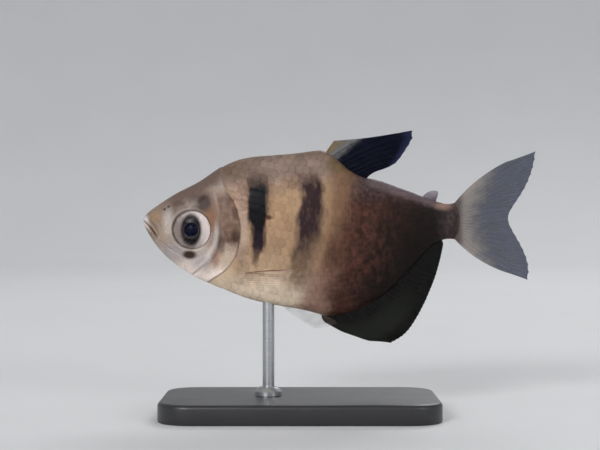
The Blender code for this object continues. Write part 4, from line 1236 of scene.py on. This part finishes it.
adipose = build("adipose_flap", *leaf(ADIPOSE, ADIPOSE_ROOT, ADIPOSE_THICK), flap.material)
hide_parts("adipose_fin")

# %% [markdown]
# The paired fins grow from the chest and the belly. Each lies in a plane of its own that leans out
# from the flank and points back, so they are made by the same fin sheet with another way of placing it.
# Each row says where the fin grows, its length, how far its root and its tips fan out, the angles by
# which it leans out and droops, and how many rays it has.

# %% Paired fins
PECTORAL = ((-8.6, 20.95), 9.0, (0.6, 1.4), (24, -3), 9)
PELVIC = ((-1.4, 16.7), 7.7, (0.55, 1.2), (14, 24), 8)
PAIRED_CURL, PAIRED_BOW = 0.012, 0.25
LAST_RAY_SHORTER, HIGHEST_TIP, TIP_DROP = 0.35, 0.7, 1.9


def paired_fin(name, node, finish, side, base, length, fan, tilt, count):
    """A fin on one side of the body."""
    x, z = base
    lean, droop = (math.radians(angle) for angle in tilt)
    origin = np.array([x, side * side_y(x, z), z])
    back = np.array([math.cos(lean) * math.cos(droop), side * math.sin(lean), -math.sin(droop)])
    up = np.array([math.sin(droop), 0, math.cos(droop)])
    out = side * np.cross(up, back)
    out /= np.linalg.norm(out)

    def place(line, offset):
        bowed = offset + PAIRED_CURL * line[..., 0] ** 2
        return origin + line[..., :1] * back + line[..., 1:] * up + bowed[..., None] * out

    root_half, tip_half = fan
    shares = np.linspace(0, 1, count)
    roots = np.stack([0 * shares - ROOT_SUNK, root_half * (1 - 2 * shares)], axis=-1)
    tips_x = length * (1 - LAST_RAY_SHORTER * shares**1.5)
    tips = np.stack([tips_x, tip_half * (HIGHEST_TIP - TIP_DROP * shares)], axis=-1)
    shape = (roots, tips, PAIRED_BOW * (1 - 2 * shares))
    fin = fin_sheet(name, shape, finish, place, rays=0.18, lead=1.6, ripple=0.08, grid=(12, 44))
    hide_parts(node)


for side, name in ((-1, "left"), (1, "right")):
    paired_fin(f"pectoral_sheet_{name}", f"pectoral_fin_{name}", pectoral_skin, side, *PECTORAL)
    paired_fin(f"pelvic_sheet_{name}", f"pelvic_fin_{name}", pelvic_skin, side, *PELVIC)
print("paired fins:", 4, "rays each:", PECTORAL[-1], "and", PELVIC[-1])

# %% [markdown]
# ## Stand
# The living fish swims free, so this model stands on a plain display stand: a satin black plate,
# a steel rod and a small collar. Each keeps its CAD size and gets the rounded edges of a made thing.

# %% Stand
BASE_HALF_LENGTH, BASE_HALF_WIDTH, BASE_CORNER, BASE_TALL = 21.0, 12.0, 5.0, 3.0
BASE_FOOT = [(0.25, 0.0), (0.08, 0.08), (0.0, 0.25)]
BASE_EDGE, EDGE_STEPS = 0.6, 8
ROD_X, ROD_RADIUS, ROD_EDGE = -4.8, 0.9, 0.3
ROD_FOOT, ROD_IN_BODY = 1.8, 2.4
COLLAR_FOOT = BASE_TALL - 0.02
COLLAR = [(0, 0), (1.9, 0), (2.0, 0.1), (2.0, 0.7), (1.75, 1.05), (1.35, 1.4), (1.0, 1.42), (0, 1.42)]
CREASE = 30


def rounded_outline(inset, arc=12):
    """The base's outline drawn in by an inset, corner by corner."""
    radius = BASE_CORNER - inset
    points = []
    for n, (cx, cy) in enumerate([(1, 1), (-1, 1), (-1, -1), (1, -1)]):
        for k in range(arc + 1):
            turn = math.radians(90 * n + 90 * k / arc)
            x = cx * (BASE_HALF_LENGTH - BASE_CORNER) + radius * math.cos(turn)
            points.append((x, cy * (BASE_HALF_WIDTH - BASE_CORNER) + radius * math.sin(turn)))
    return points


def plate_shape():
    """A plate whose upper and lower edges are rounded over."""
    layers = list(BASE_FOOT)
    for k in range(EDGE_STEPS + 1):
        turn = math.radians(90 * k / EDGE_STEPS)
        layers.append((BASE_EDGE * (1 - math.cos(turn)), BASE_TALL - BASE_EDGE * (1 - math.sin(turn))))
    points = [(x, y, height) for inset, height in layers for x, y in rounded_outline(inset)]
    ring = len(rounded_outline(0))
    faces = quads(len(layers), ring, ring=True)
    return points, faces + [list(range(ring)), list(range(len(points) - ring, len(points)))]


def upright_axes(x):
    """An upright axis for a lathe shape: its foot and three directions."""
    return np.array([(x, 0, 0), (0, 0, 1), (1, 0, 0), (0, 1, 0)], float)


lacquer = Finish("satin_lacquer", Coat_Weight=0.2, Coat_Roughness=0.3)
dust = lacquer.noise(0.25, 4.0)
lacquer.paint(Base_Color=lacquer.mix(srgb(28, 28, 30), srgb(35, 35, 38), dust), Roughness=dust * 0.12 + 0.36)
lacquer.relief(lacquer.noise(9.0, 2.0), 0.01)

steel = Finish("brushed_steel", Metallic=1.0)
brushed = steel.noise(2.0, 3.0, stretch=(0.4, 0.4, 9.0))
steel.paint(Base_Color=steel.mix(srgb(150, 152, 156), srgb(196, 198, 200), brushed))
steel.paint(Roughness=brushed * 0.3 + 0.18)
steel.relief(brushed, 0.01)

plate = build("stand_plate", *plate_shape(), lacquer.material, bend=False, crease=CREASE)
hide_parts("stand_base")

top = float(section(ROD_X)[1]) + ROD_IN_BODY
post = [(0, ROD_FOOT), (ROD_RADIUS, ROD_FOOT), (ROD_RADIUS, top - ROD_EDGE), (ROD_RADIUS - ROD_EDGE, top)]
post_shape = turn_about(post + [(0, top)], upright_axes(ROD_X), 64)
rod = build("stand_post", *post_shape, steel.material, bend=False, crease=CREASE)
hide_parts("stand_rod")

ring = [(radius, COLLAR_FOOT + height) for radius, height in COLLAR]
ring_shape = turn_about(ring, upright_axes(ROD_X), 64)
collar = build("stand_ring", *ring_shape, steel.material, bend=False, crease=CREASE)
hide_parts("stand_collar")

# %% [markdown]
# ## Floor and light
# The floor is a wide pale bowl, flat in the middle and curving up all round, so that no horizon
# shows from any side. A large soft lamp stands above and in front on the left, a weaker one fills the
# other side and one from behind draws the fins' edges. Their beams are narrower than half a sphere,
# so that they don't burn out the wall beside them.

# %% Floor and lamps
FLOOR_FLAT, FLOOR_RISE, FLOOR_HIGH = 700.0, 500.0, 1400.0
FLAT_RINGS, RISE_RINGS = 6, 16
LAMP_SPREAD = 130.0
SKY = 0.52

paper = Finish("pale_paper", Roughness=0.75)
paper.paint(Base_Color=paper.mix(srgb(214, 215, 217), srgb(218, 219, 221), paper.noise(0.02, 1.0)))
bowl = [(FLOOR_FLAT * k / FLAT_RINGS, 0.0) for k in range(FLAT_RINGS + 1)]
for k in range(1, RISE_RINGS + 1):
    turn = math.radians(90 * k / RISE_RINGS)
    bowl.append((FLOOR_FLAT + FLOOR_RISE * math.sin(turn), FLOOR_RISE * (1 - math.cos(turn))))
bowl.append((FLOOR_FLAT + FLOOR_RISE, FLOOR_HIGH))
floor = add_mesh("pale_floor", *turn_about(bowl, upright_axes(0), 96), paper.material)


def lamp(name, place, target, size, watts):
    """A round soft lamp, aimed at a place. Places and size are in millimetres."""
    light = bpy.data.lights.new(name, "AREA")
    light.shape = "DISK"
    light.size = size * MM
    light.spread = math.radians(LAMP_SPREAD)
    light.energy = watts
    made = bpy.data.objects.new(name, light)
    made.location = np.array(place) * MM
    aim = np.array(target, float) - np.array(place, float)
    made.rotation_euler = (math.atan2(math.hypot(aim[0], aim[1]), -aim[2]), 0, math.atan2(-aim[0], aim[1]))
    bpy.context.scene.collection.objects.link(made)


lamp("key_lamp", (-520, -1050, 420), (0, 0, 28), 480, 7.2)
lamp("fill_lamp", (800, -800, 250), (0, 0, 28), 600, 2.75)
lamp("rim_lamp", (300, 825, 750), (0, 0, 30), 600, 1.95)

world = bpy.data.worlds.new("studio")
bpy.context.scene.world = world
world.use_nodes = True
world.node_tree.nodes["Background"].inputs["Color"].default_value = (1.0, 1.0, 1.0, 1.0)
world.node_tree.nodes["Background"].inputs["Strength"].default_value = SKY
bpy.context.scene.view_settings.view_transform = "Standard"
